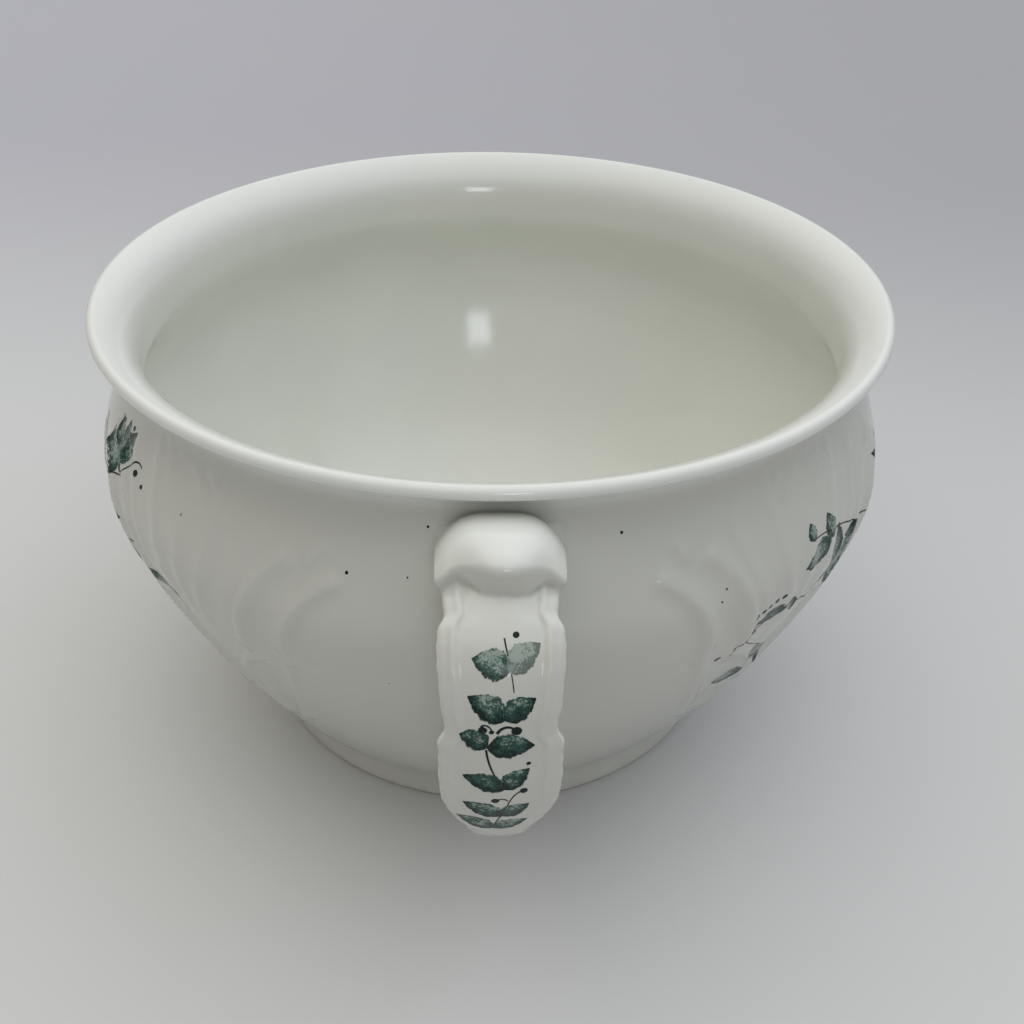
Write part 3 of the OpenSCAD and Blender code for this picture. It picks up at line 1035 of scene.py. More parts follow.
@dataclass
class Handle:
    """Scalloped strap with two rails on its face, under a leaf whose tongue folds over the bend."""

    bowl: Bowl
    reach: float
    low_z: float = 40.0
    width: float = 29.0
    thickness: float = 7.0
    sink: float = 5.3
    top_drop: float = 3.0
    top_lead: Place = (24.0, 2.0)
    bend_drop: float = 7.0
    face_pull: float = 32.0
    end_lead: Place = (7.5, 8.0)
    face_steps: tuple = (90, 130)
    ripple: float = 0.15
    ripple_waves: Place = (0.9, 0.31)
    edge_bevel: Place = (0.6, 0.5)
    edge_drop: float = 1.6
    scallop_first: float = 31.0
    scallop_pitch: float = 29.0
    scallop_depth: float = 1.7
    scallop_shoulder: float = 0.17
    scallops: int = 2
    end_taper: float = 6.0
    taper_first: float = 76.0
    taper_length: float = 27.0
    taper_power: float = 2.3
    rail_h: float = 0.7
    rail_edge: float = 2.4
    rail_w: float = 2.6
    panel_crown: float = 1.2
    rail_end: float = 94.0
    rail_fade: float = 14.0
    end_round: float = 1.8
    leaf_w: float = 30.4
    leaf_root: float = -1.4
    leaf_lead: Place = (11.0, 10.0)
    leaf_crest: Place = (-6.9, 8.4)
    leaf_droop: float = 8.0
    leaf_arch: float = 3.6
    leaf_rows: tuple = (34, 9, 8)
    leaf_cols: int = 61
    leaf_seat: float = 0.85
    root_share: float = 0.90
    full_width: float = 0.6
    tip_narrowing: float = 0.06
    lobe_end: float = 0.80
    lobe_swell: float = 0.05
    lobe_place: Place = (0.9, 0.12)
    lobe_dip: float = 3.4
    dip_first: float = 0.6
    dip_power: float = 1.5
    tongue_crown: float = 0.4
    crown_place: Place = (0.96, 0.10)
    tongue_power: float = 2.5
    tongue_half: float = 0.50
    tongue_shift: float = 0.08
    tongue_from: float = 0.46
    tongue_tip: Place = (-0.2, 10.0)
    tongue_turn: float = 68.0
    tongue_fall: float = 9.4
    tip_round: float = 2.5
    lobe_round: float = 1.2
    voxel: float = 0.40
    softness: int = 7
    buried: float = 0.5
    seam_h: float = 0.08
    seam_half: float = 0.5
    seam_x: float = 0.5
    seam_drop: float = 22.0
    seam_fade: float = 3.0
    upper_slip: Place = (119.5, 126.5)
    lower_slip: Place = (41.0, 48.0)
    slip_inset: float = 1.0

    @classmethod
    def from_frame(cls, bowl: Bowl) -> "Handle":
        """Handle that reaches as far as the solid does."""
        return cls(bowl, reach=-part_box("handle")[0].y / MM - cls.rail_h)

    def __post_init__(self) -> None:
        """Works out the paths of the strap's face and of the leaf, as distance from the axis and height."""
        bowl = self.bowl
        neck_z, face = bowl.height - bowl.neck_drop, self.reach
        top = np.array([bowl.neck_r - self.sink, neck_z - self.top_drop])
        end = np.array([bowl.outer_r(self.low_z) - self.sink, self.low_z])
        front = [face, bowl.belly_z]
        under = [face - self.end_lead[0], self.low_z - self.end_lead[1]]
        upper = [top, top + self.top_lead, [face, neck_z - self.bend_drop], front]
        lower = [front, [face, bowl.belly_z - self.face_pull], under, end]
        self.face_line = chain([upper, lower], self.face_steps)
        self.face_out = -side_of(self.face_line)
        run = np.linalg.norm(np.diff(self.face_line, axis=0), axis=1)
        self.lengths = np.concatenate([[0.0], np.cumsum(run)])
        self.leaf_top = self.lengths[int(self.face_steps[0] * self.tongue_from)]
        tip = self.face_at(np.array([self.leaf_top]))[0][0] + self.tongue_tip
        root = np.array([top[0], neck_z + self.leaf_root])
        crest = np.array([tip[0], neck_z]) + self.leaf_crest
        self.leaf_path = [root, root + self.leaf_lead, crest, tip]

    def face_at(self, s: np.ndarray) -> tuple[np.ndarray, np.ndarray]:
        """Places on the middle of the strap's face.

        Args:
            s: Distances along the strap from its upper end.

        Returns:
            The points and the outward normals, in the plane of distance from the axis and height.
        """
        line = np.stack([np.interp(s, self.lengths, self.face_line[:, i]) for i in (0, 1)], axis=-1)
        out = np.stack([np.interp(s, self.lengths, self.face_out[:, i]) for i in (0, 1)], axis=-1)
        return line, out

    def half_width(self, s: float) -> float:
        """Half of the strap's width, with a quick shoulder at the upper end of each scallop.

        Args:
            s: Distance along the strap.

        Returns:
            Half of the width there.
        """
        turn, f = divmod((s - self.scallop_first) / self.scallop_pitch, 1.0)
        shoulder = self.scallop_shoulder
        if turn >= self.scallops - 1 and f >= shoulder or turn >= self.scallops:
            dip = 0.0
        elif f < shoulder:
            dip = 0.5 + 0.5 * math.cos(math.pi * f / shoulder)
        else:
            dip = ((f - shoulder) / (1 - shoulder)) ** 2
        tapered = min(1.0, max(0.0, s - self.taper_first) / self.taper_length)
        narrowing = self.end_taper * tapered**self.taper_power
        ripple = self.ripple * math.sin(s * self.ripple_waves[0]) * math.sin(s * self.ripple_waves[1])
        return self.width / 2 - self.scallop_depth * dip - narrowing + ripple

    def section(self, half: float, relief: float) -> np.ndarray:
        """Outline of the strap across its length, as distance across and distance out of the face.

        Args:
            half: Half of the strap's width.
            relief: Share of the rails' and the panel's full height.

        Returns:
            Points round the whole outline.
        """
        rail_out = half - self.rail_edge
        rail_in = rail_out - self.rail_w
        rail_h, crown_h = relief * self.rail_h, relief * self.panel_crown
        rail = [[rail_in + self.rail_w * k, rail_h * math.sin(math.pi * k)] for k in np.linspace(0, 1, 7)]
        crown = [[rail_in * k, crown_h * (1.0 - k**2)] for k in np.linspace(0.0, 0.84, 7)]
        face = crown + rail + [[half - self.edge_bevel[0], -self.edge_bevel[1]]]
        face = [[x, out - (1.0 - relief) * self.end_round * (x / half) ** 3] for x, out in face]
        drop = self.edge_drop + (1.0 - relief) * self.end_round
        back = [
            [half * math.cos(a), -drop - (self.thickness - drop) * math.sin(a)]
            for a in np.linspace(0.0, math.pi / 2, 9)
        ]
        right = np.array(face + back)
        left = right[-2:0:-1] * [-1.0, 1.0]
        return np.concatenate([right, left])

    def strap_mesh(self) -> tuple[np.ndarray, list]:
        """Closed skin of the strap.

        Returns:
            The points, and the faces between them.
        """
        places = np.linspace(0.0, self.lengths[-1], 190)
        line, out = self.face_at(places)
        rings = []
        for s, p, o in zip(places, line, out):
            v = self.section(self.half_width(s), np.clip((self.rail_end - s) / self.rail_fade, 0.0, 1.0))
            rings.append(np.stack([v[:, 0], -(p[0] + v[:, 1] * o[0]), p[1] + v[:, 1] * o[1]], axis=1))
        points = np.array(rings)
        rows, cols = points.shape[:2]
        faces = grid_faces(rows, cols, False, True)
        faces += [list(range(cols))[::-1], list(range((rows - 1) * cols, rows * cols))]
        return points.reshape(-1, 3), faces

    def leaf_half(self, t: np.ndarray) -> np.ndarray:
        """Half of the leaf's width.

        Args:
            t: Shares of the leaf's path, from its root to its tip.

        Returns:
            Half of the width there: it widens from the root and draws in a little at the tip.
        """
        widening = np.sin(np.pi / 2 * np.clip(t / self.full_width, 0, 1))
        narrowing = 1 - self.tip_narrowing * np.clip((t - 0.7) / 0.3, 0, 1) ** 2
        return self.leaf_w / 2 * (self.root_share + (1 - self.root_share) * widening) * narrowing

    def leaf_mesh(self, first: int) -> tuple[np.ndarray, list]:
        """Closed skin of the leaf, whose edge curls under and whose back lies inside the strap.

        Args:
            first: Index of its first point.

        Returns:
            The points, and the faces between them.
        """
        u = np.linspace(-1.0, 1.0, self.leaf_cols)[None, :]
        ahead, curled, fallen = self.leaf_rows
        rows = np.concatenate([np.linspace(0.0, 1.0, ahead), np.ones(curled + fallen)])[:, None]
        turns = [np.zeros(ahead), np.linspace(0.0, 1.0, curled + 1)[1:], np.ones(fallen)]
        falls = [np.zeros(ahead + curled), np.linspace(0.0, 1.0, fallen + 1)[1:]]
        curl = np.radians(self.tongue_turn * np.concatenate(turns))[:, None]
        tongue = bump(u - self.tongue_shift, self.tongue_half, self.tongue_power)
        fall = np.concatenate(falls)[:, None] * self.tongue_fall * tongue
        lobes = self.lobe_swell * bump(np.abs(u) - self.lobe_place[0], self.lobe_place[1])
        t = rows * (self.lobe_end + (1 - self.lobe_end) * tongue + lobes)
        flat = bezier(self.leaf_path, t.ravel())
        slope = bezier(self.leaf_path, t.ravel() + 1e-3) - flat
        slope /= np.linalg.norm(slope, axis=1, keepdims=True)
        path, d = flat.reshape(*t.shape, 2), slope.reshape(*t.shape, 2)
        under = np.stack([d[..., 1], -d[..., 0]], axis=-1)
        radius = (self.lobe_round + (self.tip_round - self.lobe_round) * tongue)[..., None]
        sin, cos = np.sin(curl)[..., None], np.cos(curl)[..., None]
        path = path + radius * (sin * d + (1 - cos) * under) + fall[..., None] * (cos * d + sin * under)
        x = u * self.leaf_half(t)
        arch = np.abs(u) ** self.leaf_arch
        late = np.clip((rows - self.dip_first) / (1 - self.dip_first), 0, 1) ** self.dip_power
        dip = self.lobe_dip * (1 - tongue) * (1 - arch) * late
        raised = self.tongue_crown * tongue * bump(t - self.crown_place[0], self.crown_place[1])
        crown = raised - dip - self.leaf_droop * arch
        upper = np.stack([x, -path[..., 0], path[..., 1] + crown], axis=-1)
        line, out = self.face_at(t.ravel() * self.leaf_top)
        seat = (line - self.thickness / 2 * out).reshape(*t.shape, 2)
        lower = np.stack([x * self.leaf_seat, -seat[..., 0], seat[..., 1]], axis=-1)
        return slab(upper, lower, first)

    def soften(self, mesh: bpy.types.Mesh) -> bpy.types.Mesh:
        """Joins strap and leaf into one skin, as the mould and the glaze leave it.

        Args:
            mesh: The closed skins of strap and leaf.

        Returns:
            The joined mesh.
        """
        rough = bpy.data.objects.new("handle_rough", mesh)
        bpy.context.scene.collection.objects.link(rough)
        remesh = rough.modifiers.new("join", "REMESH")
        remesh.mode = "VOXEL"
        remesh.voxel_size = self.voxel * MM
        smooth = rough.modifiers.new("soften", "SMOOTH")
        smooth.factor = 0.5
        smooth.iterations = self.softness
        shown = rough.evaluated_get(bpy.context.evaluated_depsgraph_get())
        joined = bpy.data.meshes.new_from_object(shown)
        bpy.data.objects.remove(rough)
        return joined

    def finish_skin(self, mesh: bpy.types.Mesh) -> None:
        """Raises the mould seam on the leaf and ends the handle just under the bowl's skin.

        Args:
            mesh: The joined mesh, which is changed.
        """
        co = np.empty(len(mesh.vertices) * 3)
        mesh.vertices.foreach_get("co", co)
        p = co.reshape(-1, 3) / MM
        on_leaf = np.clip((p[:, 2] - self.bowl.height + self.seam_drop) / self.seam_fade, 0, 1)
        p[:, 2] += self.seam_h * bump(p[:, 0] - self.seam_x, self.seam_half) * on_leaf
        r = np.hypot(p[:, 0], p[:, 1])
        least = self.bowl.outer_r(p[:, 2]) - self.buried
        grow = np.where(r < least, least / np.maximum(r, 1.0), 1.0)
        p[:, :2] *= grow[:, None]
        mesh.vertices.foreach_set("co", (p * MM).ravel())
        mesh.update()

    def build(self, material: bpy.types.Material) -> bpy.types.Object:
        """Makes the handle.

        Args:
            material: Its glaze.

        Returns:
            The new piece.
        """
        strap, strap_faces = self.strap_mesh()
        leaf, leaf_faces = self.leaf_mesh(len(strap))
        mesh = self.soften(make_mesh("handle", np.concatenate([strap, leaf]), strap_faces + leaf_faces))
        self.finish_skin(mesh)
        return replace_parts(add_piece("handle", mesh, material, sharp=70.0), "handle")


@dataclass
class SlipJoint:
    """Slip squeezed out round an end of the handle, in a small hollow curve."""

    bowl: Bowl
    node: str
    low: float
    high: float
    half: float = 13.4
    spread: float = 2.4
    rise: float = 1.5
    feather: float = 0.05
    depth: float = 0.4

    def build(self, material: bpy.types.Material) -> bpy.types.Object:
        """Makes the joint.

        Args:
            material: Its finish.

        Returns:
            The new piece.
        """
        x = np.linspace(-self.half - self.spread, self.half + self.spread, 61)[None, :]
        z = np.linspace(self.low - self.spread, self.high + self.spread, 41)[:, None]
        past_x = np.maximum(np.abs(x) - self.half, 0.0)
        past_z = np.maximum(np.abs(z - (self.low + self.high) / 2) - (self.high - self.low) / 2, 0.0)
        share = np.clip(1.0 - np.hypot(past_x, past_z) / self.spread, 0.0, 1.0)
        lift = self.feather + self.rise * share**2
        radius = self.bowl.outer_r(z)
        angles = np.degrees(np.arcsin(x / radius))
        upper = turned(radius + lift, z + 0.0 * x, angles)
        lower = turned(radius + 0.0 * x - self.depth, z + 0.0 * x, angles)
        mesh = make_mesh(self.node, *slab(upper, lower))
        name = self.node.replace("lute", "slip")
        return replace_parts(add_piece(name, mesh, material), self.node)


class Carrier:
    """A skin that print lies on, reached from a flat chart."""

    def __init__(self, piece: bpy.types.Object) -> None:
        """Keeps the piece's mesh for casting rays."""
        self.tree = BVHTree.FromObject(piece, bpy.context.evaluated_depsgraph_get())

    def ray(self, chart: np.ndarray) -> tuple[np.ndarray, np.ndarray]:
        """Start and direction of a ray at each chart place, in millimetres."""
        raise NotImplementedError

    def lay(self, chart: np.ndarray, lift: float) -> np.ndarray:
        """Lays chart places on the skin.

        Args:
            chart: Places, two numbers a row.
            lift: Distance out of the skin, in millimetres.

        Returns:
            Points in millimetres, one a row.
        """
        points = []
        for start, direction in zip(*self.ray(chart)):
            hit, normal, _, _ = self.tree.ray_cast(Vector(start * MM), Vector(direction))
            if hit is None:
                raise ValueError(f"print misses its carrier at {start}")
            points.append(np.array(hit) / MM + lift * np.array(normal))
        return np.array(points)


class BellyCarrier(Carrier):
    """The belly, with a chart of millimetres round its widest part and height above the table."""

    START = 8.0

    def __init__(self, piece: bpy.types.Object, bowl: Bowl) -> None:
        """Keeps the bowl's outline."""
        super().__init__(piece)
        self.bowl = bowl

    def ray(self, chart: np.ndarray) -> tuple[np.ndarray, np.ndarray]:
        """Rays square to the plain belly.

        Args:
            chart: Places, two numbers a row.

        Returns:
            The starts and the directions.
        """
        angle = np.degrees(chart[:, 0] / self.bowl.belly_r)
        line, side = self.bowl.outer_line, self.bowl.outer_side
        r, nr, nz = (np.interp(chart[:, 1], line[:, 1], v) for v in (line[:, 0], side[:, 0], side[:, 1]))
        start = turned(r + self.START * nr, chart[:, 1] + self.START * nz, angle)
        return start, turned(-nr, -nz, angle)


class StrapCarrier(Carrier):
    """The strap's face, with a chart of distance across and distance along it."""

    START = 3.0

    def __init__(self, piece: bpy.types.Object, handle: Handle) -> None:
        """Keeps the handle's paths."""
        super().__init__(piece)
        self.handle = handle

    def ray(self, chart: np.ndarray) -> tuple[np.ndarray, np.ndarray]:
        """Rays square to the strap's face.

        Args:
            chart: Places, two numbers a row.

        Returns:
            The starts and the directions.
        """
        line, out = self.handle.face_at(chart[:, 1])
        away = line + self.START * out
        start = np.stack([chart[:, 0], -away[:, 0], away[:, 1]], axis=1)
        return start, np.stack([np.zeros(len(out)), out[:, 0], -out[:, 1]], axis=1)


class InkSheet:
    """Print on one carrier: thin closed patches, all in one piece."""

    UV = "leaf_place"
    TONE = "ink_tone"
    LIFT = 0.05
    DEPTH = 0.08
    LEAF_GRID = (33, 9, 1.1)
    BUD_GRID = (9, 5, 1.0)
    RAGGED = 0.06

    def __init__(self, name: str, carrier: Carrier) -> None:
        """Starts an empty sheet.

        Args:
            name: Name of the piece.
            carrier: The surface that carries the print.
        """
        self.name, self.carrier = name, carrier
        self.points: list[np.ndarray] = []
        self.faces: list = []
        self.places: list[np.ndarray] = []
        self.tones: list[np.ndarray] = []
        self.count = 0

    def patch(self, chart: np.ndarray, across: np.ndarray, tone: float) -> None:
        """Adds a patch.

        Args:
            chart: Grid of chart places, rows by columns by 2.
            across: Place across the patch, 0 to 1, for each column.
            tone: Darkness of the ink, from -1 where it is worn, 0 for a wash, to 1 for a line.
        """
        rows, cols = chart.shape[:2]
        flat = chart.reshape(-1, 2)
        upper = self.carrier.lay(flat, self.LIFT).reshape(rows, cols, 3)
        lower = self.carrier.lay(flat, -self.DEPTH).reshape(rows, cols, 3)
        points, faces = slab(upper, lower, self.count)
        u, v = np.meshgrid(across, np.linspace(0, 1, rows))
        self.points.append(points)
        self.faces += faces
        self.places.append(np.tile(np.stack([u.ravel(), v.ravel()], axis=1), (2, 1)))
        self.tones.append(np.full(len(points), tone))
        self.count += len(points)

    def outline(self, motif: Motif, v: np.ndarray) -> np.ndarray:
        """Half-width of a motif along its length.

        Args:
            motif: The motif.
            v: Shares of its length.

        Returns:
            Shares of its greatest half-width.
        """
        if motif is Motif.BUD:
            return np.sqrt(np.clip(1 - (2 * v - 1) ** 2, 0.02, 1))
        return np.maximum(np.sin(np.pi * v**0.85) ** 0.8 * (1 - 0.25 * v), 0.03)

    def blade(
        self,
        base: Place,
        tip: Place,
        width: float,
        motif: Motif,
        tone: float,
        bend: float = 0.0,
        shaded: int = 1,
    ) -> None:
        """Adds a leaf or a bud.

        Args:
            base: Chart place where it starts.
            tip: Chart place where it ends.
            width: Its greatest width.
            motif: Its outline.
            tone: Darkness of its ink.
            bend: How far its middle bows to its left.
            shaded: 1 where its left half is in shade, -1 where its right half is.
        """
        rows, cols, swell = self.LEAF_GRID if motif is Motif.LEAF else self.BUD_GRID
        v, u = np.linspace(0, 1, rows)[:, None], np.linspace(-1, 1, cols)[None, :]
        a, run = np.array(base), np.array(tip) - np.array(base)
        side = np.array([-run[1], run[0]]) / np.linalg.norm(run)
        half = width / 2 * self.outline(motif, v) * swell
        waves = np.sin(23.0 * v + 5.0 * base[0]) + 0.7 * np.sin(61.0 * v * u + 3.0 * base[1])
        ragged = 1.0 + self.RAGGED * waves * (np.abs(u) > 0.9)
        offset = (bend * np.sin(np.pi * v) + u * half * ragged)[..., None]
        self.patch(a + v[..., None] * run + offset * side, (shaded * u[0] + 1) / 2, tone)

    def stem(self, points: list, width: float = 0.5, tone: float = 0.9) -> None:
        """Adds a thin stem.

        Args:
            points: Four control points on the chart.
            width: Its width at its start; it thins a little to its end.
            tone: Darkness of its ink.
        """
        length = np.linalg.norm(np.array(points[3]) - np.array(points[0]))
        t = np.linspace(0, 1, max(8, int(length / 0.8)))
        line = bezier(points, t)
        half = width / 2 * (1 - 0.35 * t)[:, None]
        side = side_of(line)
        band = np.stack([line - half * side, line, line + half * side], axis=1)
        self.patch(band, np.array([0.0, 0.5, 1.0]), tone)

    def build(self, material: bpy.types.Material) -> bpy.types.Object:
        """Makes the piece.

        Args:
            material: The ink.

        Returns:
            The new piece.
        """
        mesh = bpy.data.meshes.new(self.name)
        mesh.from_pydata((np.concatenate(self.points) * MM).tolist(), [], self.faces)
        corner = np.empty(len(mesh.loops), np.int32)
        mesh.loops.foreach_get("vertex_index", corner)
        layer = mesh.uv_layers.new(name=self.UV)
        layer.data.foreach_set("uv", np.concatenate(self.places)[corner].astype(np.float32).ravel())
        tone = mesh.attributes.new(self.TONE, "FLOAT", "POINT")
        tone.data.foreach_set("value", np.concatenate(self.tones).astype(np.float32))
        return add_piece(self.name, mesh, material)


@dataclass(frozen=True)
class LeafPair:
    """Two leaves at one place of a sprig."""

    base: Place
    left: Place
    right: Place
    width: float
    tones: tuple
    right_share: float = 0.9


@dataclass
class HandleSprig:
    """Upright sprig printed down the strap's panel."""

    pairs: tuple = (
        LeafPair((1.6, 44.6), (-6.6, 41.6), (8.6, 38.4), 7.0, (-0.12, -0.32)),
        LeafPair((0.8, 55.8), (-7.5, 50.0), (7.6, 50.6), 7.0, (0.36, 0.34)),
        LeafPair((-3.2, 63.8), (-9.4, 59.6), (7.6, 63.6), 6.4, (0.36, 0.40), 1.2),
        LeafPair((1.0, 77.8), (-8.8, 73.4), (6.5, 70.8), 6.4, (0.46, 0.40)),
        LeafPair((0.4, 90.4), (-8.8, 83.8), (6.8, 84.4), 6.4, (0.28, 0.24)),
        LeafPair((-1.6, 98.4), (-10.4, 90.8), (6.6, 92.8), 6.0, (0.12, 0.08)),
    )
    buds: tuple = (
        (3.2, 36.7, 1.4), (-4.2, 58.6, 2.0), (-2.2, 59.0, 1.1), (3.4, 58.8, 2.4), (6.3, 69.2, 1.0),
        (-1.2, 82.4, 1.9), (5.4, 78.6, 1.8),
    )
    stems: tuple = (
        (((0.6, 37.4), (1.0, 40.0), (2.2, 44.0), (2.7, 49.0)), 0.4, 0.6),
        (((-1.0, 59.4), (0.0, 57.2), (2.0, 57.0), (3.2, 58.6)), 0.8, 0.9),
        (((-4.6, 57.6), (-3.6, 56.6), (-2.4, 57.4), (-2.0, 59.0)), 0.5, 0.9),
        (((-3.4, 64.4), (-3.0, 69.0), (-1.6, 73.4), (1.0, 77.6)), 0.55, 0.9),
        (((5.0, 78.8), (2.4, 79.4), (2.0, 84.0), (0.4, 90.2)), 0.4, 0.9),
        (((-1.0, 82.2), (0.4, 81.2), (1.2, 81.6), (1.8, 82.6)), 0.5, 0.9),
        (((0.4, 90.2), (-0.6, 92.6), (-1.2, 95.4), (-1.6, 98.0)), 0.4, 0.9),
    )

    def print_on(self, sheet: InkSheet) -> None:
        """Adds the sprig to a sheet.

        Args:
            sheet: The strap's sheet.
        """
        for pair in self.pairs:
            sheet.blade(pair.base, pair.left, pair.width, Motif.LEAF, pair.tones[0], 0.5, -1)
            sheet.blade(pair.base, pair.right, pair.width * pair.right_share, Motif.LEAF, pair.tones[1], -0.5)
        for x, s, size in self.buds:
            sheet.blade((x - size / 2, s + 0.3), (x + size / 2, s - 0.3), size, Motif.BUD, 0.85)
        for points, width, tone in self.stems:
            sheet.stem(list(points), width, tone)


@dataclass(frozen=True)
class Branch:
    """Stem of a spray with leaves on it, in degrees from the handle and heights."""

    path: tuple
    leaves: tuple = ()
    width: float = 0.6


@dataclass(frozen=True)
class Blade:
    """Single leaf of a spray, from its base to its tip, in degrees from the handle and heights."""

    base: Place
    tip: Place
    width: float
    tone: float = -0.1


@dataclass
class BellySpray:
    """Loose spray printed across a side of the belly."""

    bowl: Bowl
    branches: tuple
    blades: tuple
    buds: tuple
    leaf_w: float = 6.5

    def chart(self, place: Place) -> np.ndarray:
        """Chart place of an angle and a height."""
        return np.array([math.radians(place[0]) * self.bowl.belly_r, place[1]])

    def print_branch(self, branch: Branch, sheet: InkSheet) -> None:
        """Adds a stem with its leaves, each given as share of the stem, turn in degrees, length and tone.

        Args:
            branch: The branch.
            sheet: The belly's sheet.
        """
        path = [self.chart(p) for p in branch.path]
        sheet.stem(path, branch.width)
        for t, turn, length, tone in branch.leaves:
            base, ahead = bezier(path, np.array([min(t, 0.98), min(t, 0.98) + 0.02]))
            d = (ahead - base) / np.linalg.norm(ahead - base)
            c, s = along(turn)
            tip = base + length * np.array([c * d[0] - s * d[1], s * d[0] + c * d[1]])
            bend = math.copysign(0.07 * length, turn)
            sheet.blade(tuple(base), tuple(tip), self.leaf_w * length / 12.0, Motif.LEAF, tone, bend)

    def print_on(self, sheet: InkSheet) -> None:
        """Adds the spray to a sheet.

        Args:
            sheet: The belly's sheet.
        """
        for branch in self.branches:
            self.print_branch(branch, sheet)
        for blade in self.blades:
            base, tip = self.chart(blade.base), self.chart(blade.tip)
            sheet.blade(tuple(base), tuple(tip), blade.width, Motif.LEAF, blade.tone, 0.05 * blade.width)
        for angle, z, size in self.buds:
            x, z = self.chart((angle, z))
            low, high = (x - size / 2, z - size / 4), (x + size / 2, z + size / 4)
            sheet.blade(low, high, size * 0.9, Motif.BUD, 0.9)


RIGHT_BRANCHES = (
    Branch(
        ((108.0, 64.0), (92.0, 70.0), (76.0, 92.0), (61.5, 96.0)),
        (
            (0.12, 40.0, 13.0, 0.1), (0.12, -45.0, 12.0, 0.1), (0.34, 42.0, 14.0, 0.05),
            (0.34, -40.0, 13.0, 0.15), (0.56, -42.0, 14.0, 0.10), (0.56, 38.0, 13.0, 0.10),
            (0.78, 40.0, 12.0, 0.15),
        ),
    ),
    Branch(((62.0, 95.6), (57.0, 99.0), (53.0, 104.0), (45.4, 104.9)), (), 0.5),
    Branch(((61.5, 96.0), (55.0, 82.0), (48.0, 79.0), (43.2, 87.6)), (), 0.5),
    Branch(((43.2, 87.6), (40.0, 84.0), (35.8, 84.0), (33.3, 76.0)), (), 0.5),
    Branch(((35.4, 80.0), (36.0, 77.4), (38.0, 74.0), (41.7, 69.4)), (), 0.4),
    Branch(
        ((76.0, 88.0), (75.0, 95.0), (73.0, 100.0), (70.5, 103.0)),
        ((0.5, 52.0, 11.0, 0.1), (0.6, -50.0, 11.0, 0.1), (1.0, -8.0, 10.0, 0.15)),
    ),
    Branch(
        ((92.0, 77.0), (84.0, 72.0), (78.0, 62.0), (70.0, 58.0)),
        ((0.35, 40.0, 11.0, 0.1), (0.5, -40.0, 11.0, 0.15), (0.72, 40.0, 10.0, 0.1), (1.0, 0.0, 11.0, 0.2)),
    ),
)
RIGHT_BLADES = (
    Blade((45.6, 104.6), (44.7, 110.0), 4.2),
    Blade((50.4, 101.4), (49.1, 109.2), 5.2),
    Blade((49.4, 102.0), (43.8, 97.2), 7.4, -0.1),
    Blade((57.0, 97.6), (54.2, 79.6), 13.0, -0.15),
    Blade((55.6, 99.0), (54.2, 84.0), 6.0, -0.15),
    Blade((52.0, 102.8), (53.0, 88.0), 4.6, 0.30),
    Blade((59.4, 95.4), (55.6, 82.4), 6.0, 0.45),
    Blade((54.0, 97.6), (61.2, 96.0), 5.0, 0.3),
    Blade((43.2, 87.8), (44.2, 81.6), 3.4, 0.4),
    Blade((42.4, 85.6), (35.6, 85.2), 3.8, 0.55),
    Blade((41.4, 87.4), (37.4, 87.6), 2.2, 0.5),
    Blade((41.4, 69.6), (44.6, 54.0), 5.6, 0.05),
    Blade((44.4, 66.0), (47.4, 52.0), 2.2, 0.5),
    Blade((42.0, 57.6), (36.4, 55.2), 8.5, 0.1),
)
RIGHT_BUDS = (
    (40.4, 91.6, 1.6), (39.1, 91.2, 1.5), (37.8, 90.6, 1.5), (36.6, 90.4, 1.5), (35.5, 89.4, 1.6),
    (37.0, 80.9, 1.7), (31.7, 75.1, 2.0), (44.9, 96.6, 1.2), (52.0, 102.6, 1.8),
)
LEFT_BRANCHES = (
    Branch(
        ((-108.0, 68.0), (-95.0, 76.0), (-88.0, 94.0), (-73.0, 103.0)),
        (
            (0.12, 42.0, 13.0, 0.1), (0.12, -44.0, 12.0, 0.1), (0.36, 40.0, 14.0, 0.05),
            (0.36, -42.0, 13.0, 0.15), (0.60, 44.0, 14.0, 0.10), (0.60, -40.0, 13.0, 0.10),
            (0.82, 44.0, 12.0, 0.15),
        ),
    ),
    Branch(((-76.0, 101.4), (-70.0, 100.4), (-67.0, 104.0), (-64.8, 106.0)), (), 0.5),
    Branch(((-64.8, 106.0), (-61.0, 107.4), (-60.6, 112.4), (-58.6, 114.6)), (), 0.5),
    Branch(((-58.6, 114.6), (-58.0, 116.0), (-57.0, 117.0), (-56.0, 115.6)), (), 0.6),
    Branch(
        ((-76.0, 101.4), (-70.0, 94.0), (-64.0, 88.0), (-57.6, 85.6)),
        ((0.5, 40.0, 10.0, 0.15), (0.66, -38.0, 10.0, 0.1)),
    ),
    Branch(
        ((-95.0, 80.0), (-90.0, 73.0), (-82.0, 66.0), (-75.0, 58.0)),
        ((0.45, 40.0, 11.0, 0.1), (0.6, -38.0, 11.0, 0.15), (1.0, 0.0, 12.0, 0.2)),
    ),
)
LEFT_BLADES = (
    Blade((-73.6, 103.0), (-76.6, 113.0), 5.0, 0.3),
    Blade((-65.6, 104.8), (-68.6, 118.6), 10.6, -0.05),
    Blade((-63.6, 110.4), (-66.4, 121.8), 6.2, 0.15),
    Blade((-63.4, 111.0), (-63.0, 123.0), 6.2, 0.20),
    Blade((-62.8, 112.4), (-59.8, 122.2), 5.6, 0.30),
    Blade((-62.6, 112.2), (-59.6, 117.4), 4.6, 0.20),
    Blade((-64.4, 108.0), (-61.4, 111.8), 4.4, 0.20),
    Blade((-56.8, 85.4), (-47.4, 79.8), 4.2, 0.35),
)
LEFT_BUDS = (
    (-57.2, 113.3, 2.0), (-55.1, 111.4, 1.4), (-60.2, 84.4, 2.4), (-62.0, 119.6, 1.6), (-65.6, 120.8, 1.6),
    (-61.4, 122.0, 1.6),
)
